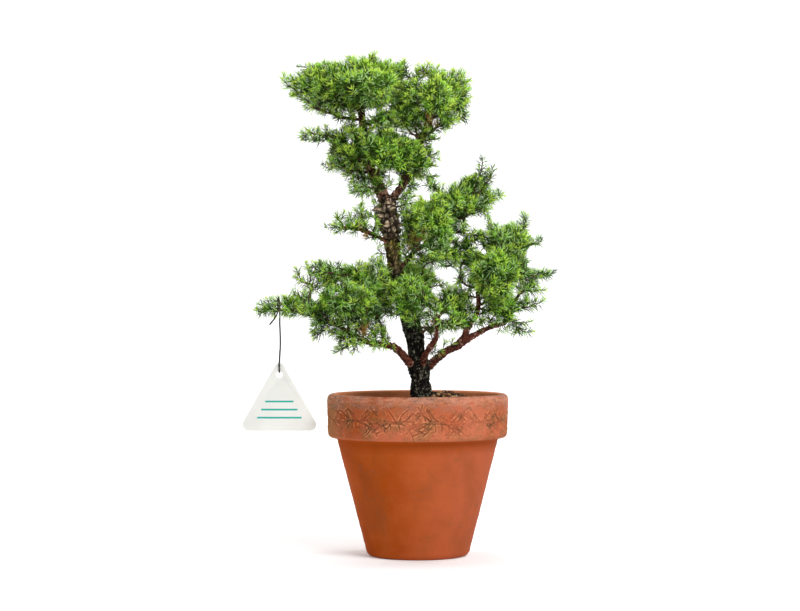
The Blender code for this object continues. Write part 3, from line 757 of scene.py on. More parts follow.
earth = Finish("damp_soil", (0.03, 0.018, 0.012), 0.95)
pale = earth.between(earth.cloud(3.0, 6.0, 0.7), 0.35, 0.7)
earth.paint(earth.coats((0.018, 0.011, 0.008), ((0.085, 0.05, 0.03), pale)))
earth.emboss(earth.cloud(1.2, 4.0, 0.7), 0.8)
earth.cover(soil)
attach(soil, PLANT)
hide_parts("soil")
heights = soil_points[top, 2].round(1)
print("soil: top from", heights.min(), "to", heights.max(), "mm up")

# %% Mulch chips and grains
PILE = (26.0, 14.0)  # the middle of the heap, where the chips lie in layers
PILE_WIDTH = 24.0
PILE_HEIGHT = 4.0
REACH = 76.0
BIT_WIDTH = (0.45, 0.8)  # a bit's width, as a share of its length
MOST_TILT = 0.8
LITTER = (  # name, count, least and most size, flatness, colour and seed
    ("mulch_tan", 210, (3.5, 10.0), 0.26, (0.42, 0.26, 0.13), 21),
    ("mulch_brown", 420, (3.5, 10.0), 0.3, (0.15, 0.065, 0.028), 22),
    ("mulch_black", 420, (3.0, 9.0), 0.35, (0.012, 0.009, 0.007), 23),
    ("pumice_grains", 160, (1.6, 3.2), 0.85, (0.36, 0.31, 0.24), 24),
)


def ball():
    """A low twenty-sided ball, as points and triangles."""
    bpy.ops.mesh.primitive_ico_sphere_add(subdivisions=1, radius=MM)
    made = bpy.context.object
    points = points_of(made.data)
    triangles = np.array([list(face.vertices) for face in made.data.polygons])
    bpy.data.objects.remove(made, do_unlink=True)
    return points, triangles


def turning(angle, first, second):
    """The matrix of a turn in the plane of two axes."""
    turn = np.eye(3)
    turn[first, first] = turn[second, second] = math.cos(angle)
    turn[second, first] = math.sin(angle)
    turn[first, second] = -turn[second, first]
    return turn


def pile_height(x, y):
    away = math.dist((x, y), PILE) / PILE_WIDTH
    return PILE_HEIGHT * math.exp(-away * away)


def scattered(name, count, size, flat, seed):
    """Bits strewn on the soil: size is (least, most) in mm, and flat squashes them into chips."""
    chance = np.random.default_rng(seed)
    shape, faces = ball()
    bits = []
    for number in range(count):
        radius = REACH * math.sqrt(chance.random())
        turn = chance.uniform(0, 2 * math.pi)
        x = radius * math.cos(turn)
        y = radius * math.sin(turn)
        if number % 3 == 0:
            x, y = (centre + chance.normal(0, PILE_WIDTH * 0.6) for centre in PILE)
            x, y = np.array((x, y)) * min(1.0, REACH / math.hypot(x, y))
        scale = chance.uniform(*size) * np.array([1.0, chance.uniform(*BIT_WIDTH), flat])
        bit = shape * scale / 2 * chance.uniform(0.8, 1.2, (len(shape), 1))
        lean = turning(chance.uniform(-MOST_TILT, MOST_TILT), 0, 2)
        spin = turning(chance.uniform(0, 2 * math.pi), 0, 1)
        layer = pile_height(x, y) * chance.uniform(0.2, 1.0)
        place = (x, y, soil_height(x, y) + layer + 0.4 + scale[2] * 0.3)
        bits.append((bit @ lean @ spin + place, faces))
    return joined(name, bits, smooth=False)


for name, count, size, flat, colour, seed in LITTER:
    litter = scattered(name, count, size, flat, seed)
    Finish(name, colour, 0.9, 0.15).cover(litter)
    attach(litter, PLANT)
print("litter:", sum(row[1] for row in LITTER), "bits on the soil")

# %% [markdown]
# ## Bark
#
# The old bark is dark and breaks into upright flaky plates; the boughs are younger, red-brown and
# stringy. The packed limbs are plain tubes, so a merged copy of them is remeshed finely, smoothed,
# and pushed in and out: cracks run between long cells, and each plate stands at its own level. A
# texture in a Displace modifier could do as much, but here the depth of each crack and the level
# of each plate are kept as attributes, so that the colours follow the relief.

# %% Limbs with relief
KNOBS_Z = 333.0  # the trunk is knotted with old, broken bark about this height
KNOBS_REACH = 18.0
KNOB = (5.6, 5.6, 6.4)
PLATE_EDGE = 0.28  # how far into its cell a plate reaches its full height, as a share
KNOB_EDGE = 0.35
BEND = 1.6  # how far noise bends the plates out of line


def grown_limbs(name, nodes, voxel, swell, rounds):
    """One closed skin over copies of the packed limbs, finely meshed and smoothed."""
    made = joined(name, [merged(node) for node in nodes])
    shaped_by(made, "DISPLACE", strength=swell * MM, mid_level=0.0)
    shaped_by(made, "REMESH", mode="VOXEL", voxel_size=voxel * MM)
    shaped_by(made, "SMOOTH", factor=0.5, iterations=rounds)
    made.data.shade_smooth()
    return made


def normals_of(mesh):
    flat = np.empty(len(mesh.vertices) * 3, np.float32)
    mesh.vertices.foreach_get("normal", flat)
    return flat.reshape(-1, 3)


def roughen(item, cell, depth, lump, seed, knobs=0.0):
    """Plates with cracks between them, over broader lumps. It keeps what each vertex got."""
    points = points_of(item.data)
    normals = normals_of(item.data)
    bent = points + BEND * np.stack([lumps(points, 5.0, seed + axis) for axis in range(3)], axis=1)
    inside, level = plates(bent, cell, seed + 5)
    plateau = np.clip(inside / PLATE_EDGE, 0, 1)
    relief = depth * (plateau * (0.45 + 0.75 * level) - 0.55)
    relief += depth * 0.35 * lumps(points, 1.3, seed + 9) + lump * lumps(points, 11.0, seed + 10)
    gnarled = knobs * np.exp(-(((points[:, 2] - KNOBS_Z) / KNOBS_REACH) ** 4))
    block, height = plates(bent, KNOB, seed + 15)
    block = np.clip(block / KNOB_EDGE, 0, 1)
    gnarled *= 1.0 - 0.4 * normals[:, 0]
    relief += gnarled * (block * (0.3 + 1.3 * height) - 0.45)
    set_points(item.data, points + normals * relief[:, None])
    give_attribute(item, "plateau", plateau * np.where(gnarled > 0.3, block, 1.0))
    give_attribute(item, "level", np.where(gnarled > 0.6, height, level))


old_wood = grown_limbs("trunk_bark", OLD_LIMBS, 0.62, 0.55, 12)
roughen(old_wood, (2.8, 2.8, 5.5), 1.4, 1.2, 31, knobs=4.8)
red_wood = grown_limbs("bough_bark", BOUGHS, 0.55, 0.35, 6)
roughen(red_wood, (3.2, 3.2, 3.2), 1.1, 0.7, 41)
print("bark:", len(old_wood.data.polygons), "and", len(red_wood.data.polygons), "faces")


# %% Bark finishes
def make_old_bark():
    """Black at the foot, olive above it, flaky and grey at the knots, and red-brown on top."""
    bark = Finish("old_bark", (0.05, 0.035, 0.025), 0.9, 0.1)
    level = bark.attribute("level")
    patch = bark.cloud(9, 4.0, 0.6)
    fleck = bark.cloud(2.6, 3.0, 0.6)
    foot = bark.coats(
        (0.003, 0.003, 0.003),
        ((0.014, 0.012, 0.009), bark.between(patch, 0.35, 0.7)),
        ((0.12, 0.12, 0.085), bark.between(level, 0.80, 0.95, 0, 0.8)),
        ((0.28, 0.28, 0.20), bark.between(fleck, 0.57, 0.62, 0, 0.9)),
    )
    olive = bark.coats(
        (0.050, 0.032, 0.015),
        ((0.36, 0.26, 0.12), bark.between(level, 0.15, 0.75)),
        ((0.27, 0.22, 0.045), bark.between(patch, 0.50, 0.64, 0, 0.8)),
    )
    # Pale flaky bark on the higher plates; on the knots, where the higher blocks stand out most, it
    # is also a painted highlight.
    flaky = ((0.50, 0.38, 0.26), bark.between(level, 0.05, 0.70))
    high = ((0.40, 0.22, 0.15), bark.between(level, 0.3, 0.95))
    # Painted shade: the cracks between the plates are painted near black.
    crack = bark.between(bark.attribute("plateau"), 0.85, 0.1, 0, 0.93)
    bark.paint(bark.coats(
        foot,
        (olive, bark.along("Z", 276, 290)),
        (bark.coats((0.060, 0.035, 0.022), flaky), bark.along("Z", 312, 320)),
        (bark.coats((0.085, 0.030, 0.018), high), bark.along("Z", 347, 358)),
        ((0.006, 0.004, 0.003), crack),
    ))
    bark.emboss(bark.cloud(1.0, 4.0, 0.7, stretch=(1, 1, 0.35)), 0.3)
    return bark


def make_red_bark():
    bark = Finish("red_bark", (0.16, 0.05, 0.03), 0.75, 0.2)
    bark.paint(bark.coats(
        (0.060, 0.014, 0.009),
        ((0.21, 0.058, 0.028), bark.between(bark.cloud(7, 4.0, 0.6), 0.35, 0.65)),
        ((0.38, 0.20, 0.14), bark.between(bark.attribute("level"), 0.68, 0.92, 0, 0.8)),
        # Painted shade: the cracks between the plates are painted dark.
        ((0.03, 0.008, 0.006), bark.between(bark.attribute("plateau"), 0.8, 0.1, 0, 0.8)),
    ))
    bark.emboss(bark.cloud(0.9, 4.0, 0.7), 0.25)
    return bark


for wood, nodes, slot, bark in (
    (old_wood, OLD_LIMBS, "bark", make_old_bark()),
    (red_wood, BOUGHS, "red_bark", make_red_bark()),
):
    bark.cover(wood)
    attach(wood, PLANT)
    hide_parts(*nodes)
    print(wood.name, "covered with", bark.mat.name)

# %% [markdown]
# ## Growth
#
# A pad of needles is many short shoots on a fine, forking framework of twigs. It is grown as the
# plant grows it: places for shoots are dealt out inside each packed mass, none closer than a shoot
# is wide, and every one is reached by a twig from the nearest wood, sharing the way with its
# neighbours. A place joins wherever its own way plus the way back to the trunk is shortest, which
# gives the real habit: short forks from a few leading twigs. A particle system would be quicker,
# but its shoots hang on nothing. Where light shows through the crown nothing grows, so a list of
# openings keeps the places out.

# %% Openings and loose pads
# Openings, as the camera sees them: middle across and up, and half sizes.
OPENINGS = np.array((
    (-8, 484, 1.5, 7), (-31.7, 443.8, 6, 2.2), (-45.4, 436.3, 1.5, 2.5), (-67.2, 410.8, 3.5, 3.5),
    (-22, 375.1, 4.5, 3), (-28, 358.5, 3.5, 3.5), (56, 331, 8, 5), (33.6, 307.5, 3, 2.5),
    (42.6, 314, 3, 3), (66, 300.5, 3.5, 4), (29.6, 278.7, 9, 5.5), (16.2, 262.8, 4, 4.5),
    (46, 267.8, 3, 5), (97.7, 239, 3, 3), (26.2, 236.5, 7, 3), (7.3, 243, 3, 2.5),
    (30, 218, 7, 4.5), (-112.9, 280.7, 4, 4), (-77.8, 269.5, 2.6, 3.6), (-74.2, 266.5, 3.4, 2.2),
    (-102, 255.9, 4, 4), (-81.1, 258.8, 3, 3), (-19, 219, 8, 15), (114, 299, 7, 8),
    (120, 288, 12, 5), (-90, 366, 5, 15), (-84, 344, 4, 5), (122, 331, 8, 12), (106, 236, 7, 4),
    (121, 228, 12, 4), (15, 381, 5, 4), (8, 356, 4.5, 4.5), (-93, 405, 7, 5), (-105, 407, 9, 3),
    (-124, 433, 8, 7), (-126, 493, 16, 7), (-105, 493, 8, 5), (54, 425, 7, 4), (-169, 246, 7, 10),
    (-140, 262, 9, 4), (-151, 259, 7, 4), (34, 194, 6, 5), (-113, 233, 6, 3), (-70, 312, 16, 3),
    (-24, 497, 14, 4), (-60, 500, 14, 5), (66, 400, 5, 5), (82, 392, 9, 6), (17, 407, 4, 5),
    (50, 381, 8, 5), (78, 334, 5, 5), (-46, 306, 6, 6), (-53, 296, 6, 4), (-165, 239, 5, 5),
    (-83, 210, 4, 4), (-97, 326, 4, 5), (-132, 444, 14, 4), (86, 331, 6, 4), (2, 370.5, 5, 2.5),
    (10, 353, 4, 4), (-45, 331, 3, 5), (-28, 225, 3.5, 8), (-111, 224, 4, 6),
))
# Small pads of loose shoots beside the packed masses: middle and half sizes.
LOOSE_PADS = (
    (-133, -2, 471, 2, 4, 3), (0, 0, 473, 3, 6, 5), (-67, -2, 432, 6, 6, 4),
    (-88, -2, 438, 8, 6, 2), (5, 0, 434, 3, 6, 5), (30, -4, 429, 9, 6, 2), (13, -2, 419, 3, 5, 4),
    (-34, 4, 379, 3, 6, 5), (-55, 2, 361, 11, 8, 3), (-48, 2, 373, 6, 6, 3),
    (-12, 0, 352, 4, 8, 8), (-77, -3, 333, 6, 6, 4), (-64, -4, 321, 16, 5, 1),
    (-43, -3, 328, 4, 6, 6), (-37, 0, 303, 2, 5, 7), (-116, -4, 274, 3, 5, 5),
    (-102, -6, 264, 2, 4, 2), (-152, -2, 247, 3, 4, 3), (-155, -2, 240, 4, 4, 2),
    (43, 8, 321, 3, 6, 5), (66, 12, 309, 3, 6, 7), (30, 6, 287, 10, 6, 2), (42, 10, 276, 3, 6, 8),
    (52, 10, 244, 3, 6, 9), (33, 4, 231, 8, 8, 6), (67, 14, 228, 9, 6, 2),
    (12, -15, 223, 3, 6, 4), (7, -12, 237, 3, 5, 4), (15, -14, 203, 4, 4, 3),
    (-27, -6, 239, 6, 6, 2), (-34, -10, 223, 4, 5, 6), (-46, -15, 223, 9, 5, 6),
    (-60, -15, 227, 9, 5, 7), (-75, -13, 229, 9, 5, 7), (-88, -12, 232, 8, 5, 7),
    (-101, -9, 237, 7, 5, 5), (-77, -8, 203, 3, 4, 2), (-63, -10, 207, 3, 4, 3),
    (-97, -9, 221, 4, 4, 2), (104, 14, 221, 7, 5, 2), (107, 8, 266, 9, 6, 2),
    (128, 4, 276, 3, 4, 3), (107, 4, 332, 3, 4, 3), (73, 2, 377, 2, 4, 5), (81, 2, 357, 3, 4, 3),
    (80, 16, 225, 10, 5, 2), (24, 4, 270, 3, 5, 4), (-6, 0, 366, 5, 6, 2), (-27, 2, 367, 3, 5, 2),
    (-40, 2, 346, 3, 6, 11), (-42, -2, 290, 6, 6, 2), (-40, -1, 432, 7, 6, 3),
    (6, 0, 480, 5, 6, 3), (-2, 0, 470, 4, 6, 3), (46, 0, 436, 4, 6, 4), (-113, -2, 416, 5, 4, 1),
    (-103, -2, 418, 6, 5, 2), (-92, -2, 418, 6, 6, 3), (-78, -2, 434, 5, 6, 3),
    (14, 0, 397, 3, 6, 4), (24, -3, 424, 5, 5, 2), (27, 2, 225, 4, 4, 2), (64, 12, 241, 3, 6, 6),
    (-30, -16, 214, 6, 4, 5), (-38, -17, 217, 6, 4, 6), (-46, -17, 215, 5, 4, 6),
    (-54, -17, 218, 6, 4, 6), (-62, -16, 216, 6, 4, 6), (-70, -15, 211, 6, 4, 5),
    (-76, -14, 217, 5, 4, 4), (-84, -13, 223, 6, 4, 6), (-92, -12, 227, 6, 4, 6),
    (-99, -10, 219, 4, 4, 4), (-33, -13, 208, 5, 4, 3), (-40, -16, 272, 6, 4, 6),
    (-50, -18, 275, 6, 4, 6), (-60, -19, 277, 6, 4, 6), (-70, -17, 277, 6, 4, 5),
    (-74, -8, 325, 6, 4, 3), (-64, -8, 324, 6, 4, 4), (-54, -8, 321, 6, 4, 4),
    (-45, -7, 317, 5, 4, 4), (-38, -6, 313, 4, 4, 3), (-10, -5, 298, 5, 4, 5),
    (-3, -3, 304, 5, 4, 5), (-26, -14, 208, 4, 4, 3), (-40, -15, 207, 5, 4, 3),
    (-18, -12, 207, 3, 3, 2), (19, -35, 233, 4, 3, 6), (16, -33, 225, 4, 3, 4),
    (-47, -15, 365, 17, 5, 5), (-58, -14, 414, 10, 5, 9), (0, -14, 385, 9, 5, 13),
    (-42, -13, 430, 8, 6, 8), (-30, -16, 425, 12, 6, 7), (-8, -18, 432, 12, 6, 12),
    (-3, -20, 455, 11, 6, 12), (20, -30, 309, 14, 6, 13), (14, -44, 244, 10, 5, 11),
    (27, -42, 239, 10, 5, 10), (33, -40, 228, 9, 5, 5), (46, -30, 232, 8, 5, 4),
    (57, 0, 316, 8, 6, 4), (47, 0, 325, 4, 6, 4), (13, -3, 414, 5, 5, 5), (-17, 0, 343, 4, 6, 7),
    (14, 0, 379, 4, 6, 5), (-112, -2, 485, 5, 4, 2), (-118, -3, 275, 3, 4, 6),
    (117, 2, 310, 4, 4, 2), (130, 3, 279, 4, 4, 2), (98, 6, 238, 5, 5, 3), (68, 2, 344, 3, 4, 6),
    (-30, -15, 388, 12, 5, 8), (-29, -6, 436, 11, 6, 4), (8, -12, 431, 8, 5, 6),
    (20, -8, 424, 8, 5, 4), (-2, -14, 418, 6, 5, 5), (-14, -2, 480, 4, 6, 6),
    (13, 0, 366, 5, 6, 3), (8, -8, 291, 11, 6, 4), (110, 4, 263, 13, 5, 4),
    (26, -30, 218, 9, 5, 4),
)
# The twig that the label hangs on, from its foot to its tip, and the stretch of wire in view.
LABEL_TWIG = (
    (-97, -5, 236), (-112, -3, 243), (-126, -1.5, 248), (-138, -1, 250.5), (-147, -2, 249),
)
WIRE_SEEN = np.array(((-138.5, 248.0, 3.4, 13.0),))
UP = np.array((0.0, 0.0, 1.0))


def unit(vectors):
    length = np.linalg.norm(vectors, axis=-1, keepdims=True)
    return vectors / np.maximum(length, 1e-9)


def in_opening(points, margin, openings=OPENINGS):
    """True for each point that the camera would see in front of or behind an opening."""
    seen = as_seen(points)[:, None, :]
    apart = (seen - openings[:, :2]) / (openings[:, 2:] + margin)
    return (np.square(apart).sum(axis=2) < 1.0).any(axis=1)


def hides_wire(points):
    """True for each point in front of the label's wire."""
    return (points[:, 1] < -5.0) & in_opening(points, 0.0, WIRE_SEEN)


print(len(OPENINGS), "openings and", len(LOOSE_PADS), "loose pads")

# %% Places for shoots
SHOOT_SPACING = 4.95
TWIG_DEPTH = 4.2
TRIES = 18  # in each cubic centimetre of a mass's box
PAD_TRIES = 60
GROWTH_SEED = 2025
LABEL_TWIG_OUTWARD = (-0.3, 0, 0.9)


def places_in(name, chance):
    """Places a shoot's radius inside a mass, and the way out from each."""
    tree = search_tree(name)
    low, high = (np.array(corner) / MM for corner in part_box(name))
    found = []
    for start in chance.uniform(low, high, (int(np.prod(high - low) / 1000 * TRIES), 3)):
        place = Vector(start)
        near, normal, _, depth = tree.find_nearest(place)
        if (near - place).dot(normal) < 0:
            continue
        for _ in range(3):
            if depth < TWIG_DEPTH:
                place -= normal * (TWIG_DEPTH - depth) * 0.75
                near, normal, _, depth = tree.find_nearest(place)
        if (near - place).dot(normal) > 0:
            found.append((*place, *normal))
    return np.array(found).reshape(-1, 6)


def places_about(pad, chance):
    """Places inside a small ellipsoid of loose shoots, given by its centre and half sizes."""
    centre, half = np.array(pad, float).reshape(2, 3)
    away = unit(chance.normal(size=(PAD_TRIES, 3))) * chance.random((PAD_TRIES, 1)) ** (1 / 3)
    return np.hstack([centre + away * half, unit(away * half + 0.4 * UP)])


def spaced_out(found, least):
    """Drops each place that falls closer than least to one already kept."""
    kept = np.full_like(found, np.inf)
    count = 0
    for row in found:
        apart = np.square(kept[: count + 1, :3] - row[:3]).sum(axis=1)
        if apart.min() > least * least:
            kept[count] = row
            count += 1
    return kept[:count]


chance = np.random.default_rng(GROWTH_SEED)
found = np.concatenate(
    [places_in(name, chance) for name in MASSES] + [places_about(pad, chance) for pad in LOOSE_PADS]
)
chance.shuffle(found)
found = found[~in_opening(found[:, :3], 1.0)]
on_label_twig = [(*place, *LABEL_TWIG_OUTWARD) for place in LABEL_TWIG[1:]]
found = np.vstack([on_label_twig, found])
places = spaced_out(found, SHOOT_SPACING)
outward = places[:, 3:]
places = places[:, :3]
print(len(places), "places for shoots out of", len(found))

# %% Twigs from the limbs to every place
WAY_BACK = 0.35  # what the way back to the trunk counts for, next to a place's own way
OLD_WAY = 0.5  # what the part of it along old wood counts for, next to new twigs
TRUNK_FOOT = np.array((0.0, 0.0, 150.0))
LOWEST_TWIG = 195.0
EASING = 2  # rounds in which each place moves a little towards its neighbours


def wood_points(item, every, inwards):
    """Points just under the bark, where a twig can start."""
    points = points_of(item.data)[::every]
    return points - normals_of(item.data)[::every] * inwards


def joined_up(places, starts):
    """The place that each place grows from, or -1 and a point on a limb, and their order."""
    away = np.linalg.norm(places[:, None, :] - starts[None, :, :], axis=2)
    cost = away + OLD_WAY * WAY_BACK * np.linalg.norm(starts - TRUNK_FOOT, axis=1)
    source = cost.argmin(axis=1)
    best = cost.min(axis=1)
    parent = np.full(len(places), -1)
    way = np.zeros(len(places))
    waiting = np.ones(len(places), bool)
    order = []
    while waiting.any():
        index = int(np.where(waiting, best, np.inf).argmin())
        waiting[index] = False
        order.append(index)
        if parent[index] < 0:
            origin = starts[source[index]]
            base = OLD_WAY * np.linalg.norm(origin - TRUNK_FOOT)
        else:
            origin = places[parent[index]]
            base = way[parent[index]]
        way[index] = base + np.linalg.norm(places[index] - origin)
        offer = np.linalg.norm(places - places[index], axis=1) + WAY_BACK * way[index]
        better = waiting & (offer < best)
        best[better] = offer[better]
        parent[better] = index
    return parent, source, order


starts = np.vstack([wood_points(red_wood, 35, 0.8), wood_points(old_wood, 120, 1.2)])
starts = starts[starts[:, 2] > LOWEST_TWIG]
parent, source, order = joined_up(places, starts)
along_label = range(len(on_label_twig))  # the label's twig is one line, from its foot to its tip
for index in along_label:
    parent[index] = index - 1
source[0] = np.linalg.norm(starts - LABEL_TWIG[0], axis=1).argmin()
order = [*along_label, *(index for index in order if index not in along_label)]
children = [[] for _ in places]
for index, other in enumerate(parent):
    if other >= 0:
        children[other].append(index)
tips = np.ones(len(places), int)
for index in reversed(order):
    tips[index] += sum(tips[child] for child in children[index])


def origin_of(index):
    return starts[source[index]] if parent[index] < 0 else places[parent[index]]


for _ in range(EASING):
    moved = places.copy()
    for index in range(len(along_label), len(places)):
        if children[index]:
            onward = places[children[index]].mean(axis=0)
            moved[index] = 0.6 * places[index] + 0.2 * origin_of(index) + 0.2 * onward
    places = moved
print("twigs start at", int((parent < 0).sum()), "points on the limbs")

# %% Tubes for the twigs
TIP_RADIUS = 0.38
MOST_RADIUS = 1.6
PIPE_POWER = 2.3  # a twig carries all the wood of the twigs beyond it
BEND_SPACING = 3.5
TWIG_SIDES = 5


def twig_radius(count):
    return min(MOST_RADIUS, TIP_RADIUS * count ** (1 / PIPE_POWER))


def smooth_line(points, radii, spacing):
    """A curve through the points, with radii, sampled about every spacing."""
    padded = np.vstack([2 * points[0] - points[1], points, 2 * points[-1] - points[-2]])
    line = []
    widths = []
    for index in range(len(points) - 1):
        a, b, c, d = padded[index:index + 4]
        count = max(1, round(float(np.linalg.norm(c - b)) / spacing))
        for step in range(count):
            t = step / count
            curve = 2 * b + (c - a) * t + (2 * a - 5 * b + 4 * c - d) * t**2
            line.append(0.5 * (curve + (3 * b - a - 3 * c + d) * t**3))
            widths.append(radii[index] * (1 - t) + radii[index + 1] * t)
    return np.array(line + [points[-1]]), np.array(widths + [radii[-1]])


def tube(line, widths, sides):
    """A closed tube along a line, pointed at both ends, as points and triangles."""
    along = unit(np.gradient(line, axis=0))
    side = unit(np.cross(along[0], (0.31, 0.87, 0.38)))
    turns = 2 * math.pi * np.arange(sides)[:, None] / sides
    rings = []
    for place, ahead, width in zip(line, along, widths):
        side = unit(side - ahead * (side @ ahead))
        other = np.cross(ahead, side)
        rings.append(place + width * (np.cos(turns) * side + np.sin(turns) * other))
    first = line[0] - along[0] * widths[0] * 0.5
    last = line[-1] + along[-1] * widths[-1]
    points = np.vstack([*rings, first, last])
    a = np.arange((len(line) - 1) * sides)
    b = a - a % sides + (a + 1) % sides
    walls = np.stack([a, b, b + sides, a, b + sides, a + sides], axis=1)
    start, beside = a[:sides], b[:sides]
    tip = np.full(sides, len(points) - 1)
    caps = np.stack([tip - 1, beside, start, tip, len(a) + start, len(a) + beside], axis=1)
    return points, np.vstack([walls.reshape(-1, 3), caps.reshape(-1, 3)])


def main_child(index):
    return max(children[index], key=lambda child: tips[child]) if children[index] else None


def twig_chains():
    """Each unbranched run of places, from where it leaves its parent to its tip."""
    leading = {main_child(index) for index in range(len(places))}
    for index in range(len(places)):
        if index in leading:
            continue
        run = [index]
        while main_child(run[-1]) is not None:
            run.append(main_child(run[-1]))
        yield run


twig_shapes = []
twig_lines = []
for run in twig_chains():
    path = np.vstack([origin_of(run[0]), places[run]])
    radii = [twig_radius(tips[index]) for index in (run[0], *run)]
    line, widths = smooth_line(path, radii, BEND_SPACING)
    line[1:-1] += chance.normal(0, 0.35, (len(line) - 2, 3)) if len(line) > 2 else 0
    widths *= chance.uniform(0.88, 1.14, len(widths))
    twig_shapes.append(tube(line, widths, TWIG_SIDES))
    twig_lines.append((line, widths))
twigs = joined("twigs", twig_shapes)
print(len(twig_shapes), "twigs,", sum(len(faces) for _, faces in twig_shapes), "triangles")

# %% [markdown]
# ## Shoots and needles
#
# Every place carries one shoot. A shoot is a thin green stem with needles in whorls of three, each
# whorl turned against the one below. Last year's needles are long, dark and spread wide; the new
# growth at the tip is short, crowded and bright. Flat cards painted with needles would be lighter
# but look thin from the side, so a needle is a closed mesh of a few faces with a sharp tip. Whole
# sprays differ in colour, so the needles are dealt out by shoot to a few joined pieces, each with
# one plain finish. The darkest finish stands also for painted shade inside the crown, and the
# whitish one also for painted highlights on the needles.

# %% How a shoot grows
mass_trees = {name: search_tree(name) for name in MASSES}
mass_boxes = {name: [np.array(corner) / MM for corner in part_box(name)] for name in MASSES}


def room_ahead(place, way):
    """How far a shoot can grow before it leaves the foliage."""
    most = 0.0
    for name, tree in mass_trees.items():
        low, high = mass_boxes[name]
        if (place < low).any() or (place > high).any():
            continue
        hit, normal, _, far = tree.ray_cast(Vector(place), Vector(way))
        if hit is not None and normal.dot(Vector(way)) > 0:
            most = max(most, far)
    return most


def shoot_way(index):
    """Onwards at a twig's tip, and to the side along it, always outwards and a little up."""
    ahead = unit(places[index] - origin_of(index))
    jitter = unit(chance.normal(size=3))
    if not children[index]:
        return unit(0.7 * ahead + 0.45 * outward[index] + 0.25 * UP + 0.3 * jitter)
    side = unit(np.cross(ahead, jitter))
    return unit(0.55 * ahead + 0.7 * side + 0.5 * outward[index] + 0.3 * UP)


print(sum(not onward for onward in children), "shoots stand at the tip of a twig")

# %% Whorls of needles
# Spacing of the whorls, lengths, spread in degrees and width, by where the needles grow.
INNER_OLD = (1.9, (10.5, 14.0), (45, 80), 0.86)
INNER_NEW = (1.6, (8.5, 11.0), (35, 70), 0.88)
OUTER_OLD = (1.7, (8.6, 11.6), (36, 70), 0.88)
OUTER_NEW = (1.4, (6.8, 9.2), (30, 62), 0.92)
BUD = (0.5, (4.0, 6.2), (12, 62), 1.0)
ON_TWIG = (1.7, (8.5, 12.5), (48, 82), 1.1)
# The finishes that the blades of a spray are dealt from.
BLADES = {
    "deep": 8 * ("deep",) + 2 * ("glaucous",),
    "mid": 2 * ("deep",) + 6 * ("mid",) + 2 * ("glaucous",),
    "glaucous": 2 * ("deep",) + 2 * ("mid",) + 6 * ("glaucous",),
    "olive": 7 * ("olive",) + 2 * ("deep",) + 1 * ("glaucous",),
    "fresh": 8 * ("fresh",) + 1 * ("bright",) + 1 * ("lemon",),
    "lemon": 8 * ("lemon",) + 2 * ("fresh",),
    "bright": 8 * ("bright",) + 1 * ("mid",) + 1 * ("glaucous",),
    "dry": ("dry",),
}
needle_rows = {kind: [np.empty((0, 11))] for kind in BLADES}


def whorls(kind, line, start, end, habit, vigour=1.0):
    """Needles in threes along part of a line, from one share of its length to another."""
    spacing, (least, most), spreads, width = habit
    steps = np.linalg.norm(np.diff(line, axis=0), axis=1)
    reach = np.concatenate([[0], np.cumsum(steps)])
    count = max(1, int((end - start) * reach[-1] / spacing))
    at = (start + (end - start) * (np.arange(count) + 0.5) / count) * reach[-1]
    base, ahead = (
        np.stack([np.interp(at, reach, values[:, axis]) for axis in range(3)], axis=1)
        for values in (line, unit(np.gradient(line, axis=0)))
    )
    ahead = unit(ahead)
    side = unit(np.cross(ahead, (0.21, -0.55, 0.81)))
    other = np.cross(ahead, side)
    base, ahead, side, other = (np.repeat(rows, 3, axis=0) for rows in (base, ahead, side, other))
    blade = np.tile(np.arange(3), count)
    turn = 2 * math.pi * blade / 3 + math.pi / 3 * np.repeat(np.arange(count), 3)
    turn += chance.uniform(0, 2 * math.pi) + chance.normal(0, 0.28, len(turn))
    out = np.cos(turn)[:, None] * side + np.sin(turn)[:, None] * other
    spread = np.radians(chance.uniform(*spreads, len(turn)))[:, None]
    way = unit(np.cos(spread) * ahead + np.sin(spread) * out + 0.06 * UP)
    flat = unit(np.cross(way, out))
    length = chance.uniform(least * vigour, most * vigour, (len(turn), 1))
    middle = base + way * length * 0.6
    rows = np.hstack([base, way, flat, length, width * chance.uniform(0.85, 1.1, (len(turn), 1))])
    keep = ~in_opening(middle, -1.0) & ~hides_wire(middle)
    for number, pick in enumerate(chance.integers(0, 1000, 3)):
        blade_kind = BLADES[kind][pick % len(BLADES[kind])]
        needle_rows[blade_kind].append(rows[keep & (blade == number)])


print(len(BLADES), "kinds of needle")

# %% Shoots
OLD_KINDS = ("deep", "mid", "glaucous", "olive", "dry")
NEW_KINDS = ("fresh", "lemon", "bright")
# Painted shade: the needles on the bare twigs inside the crown are mostly of the darkest kind.
TWIG_SHARES = (0.68, 0.2, 0.02, 0.1)  # of the first old kinds, on bare twigs
DRY_REACH = 6.0
DRY_CHANCE = 0.65
OLD_CHANCES = (0.15, 0.4)  # that a shoot has no new growth: elsewhere, and in the mature parts
LEMON_CHANCE = 0.4
INNER_MOST = 17.0  # the longest shoot inside the crown, and at the tip of a twig
OUTER_MOST = 24.0
LEAST = 4.5
NEEDLE_ROOM = 7.0  # a shoot ends this far inside its mass, to leave room for its needles
RISE = 0.13
STEM_RADII = (0.55, 0.4)
FRESH_LENGTH = (4.0, 8.0)
VIGOUR = (0.68, 0.82, 1.18)
THIN_TWIG = 1.25
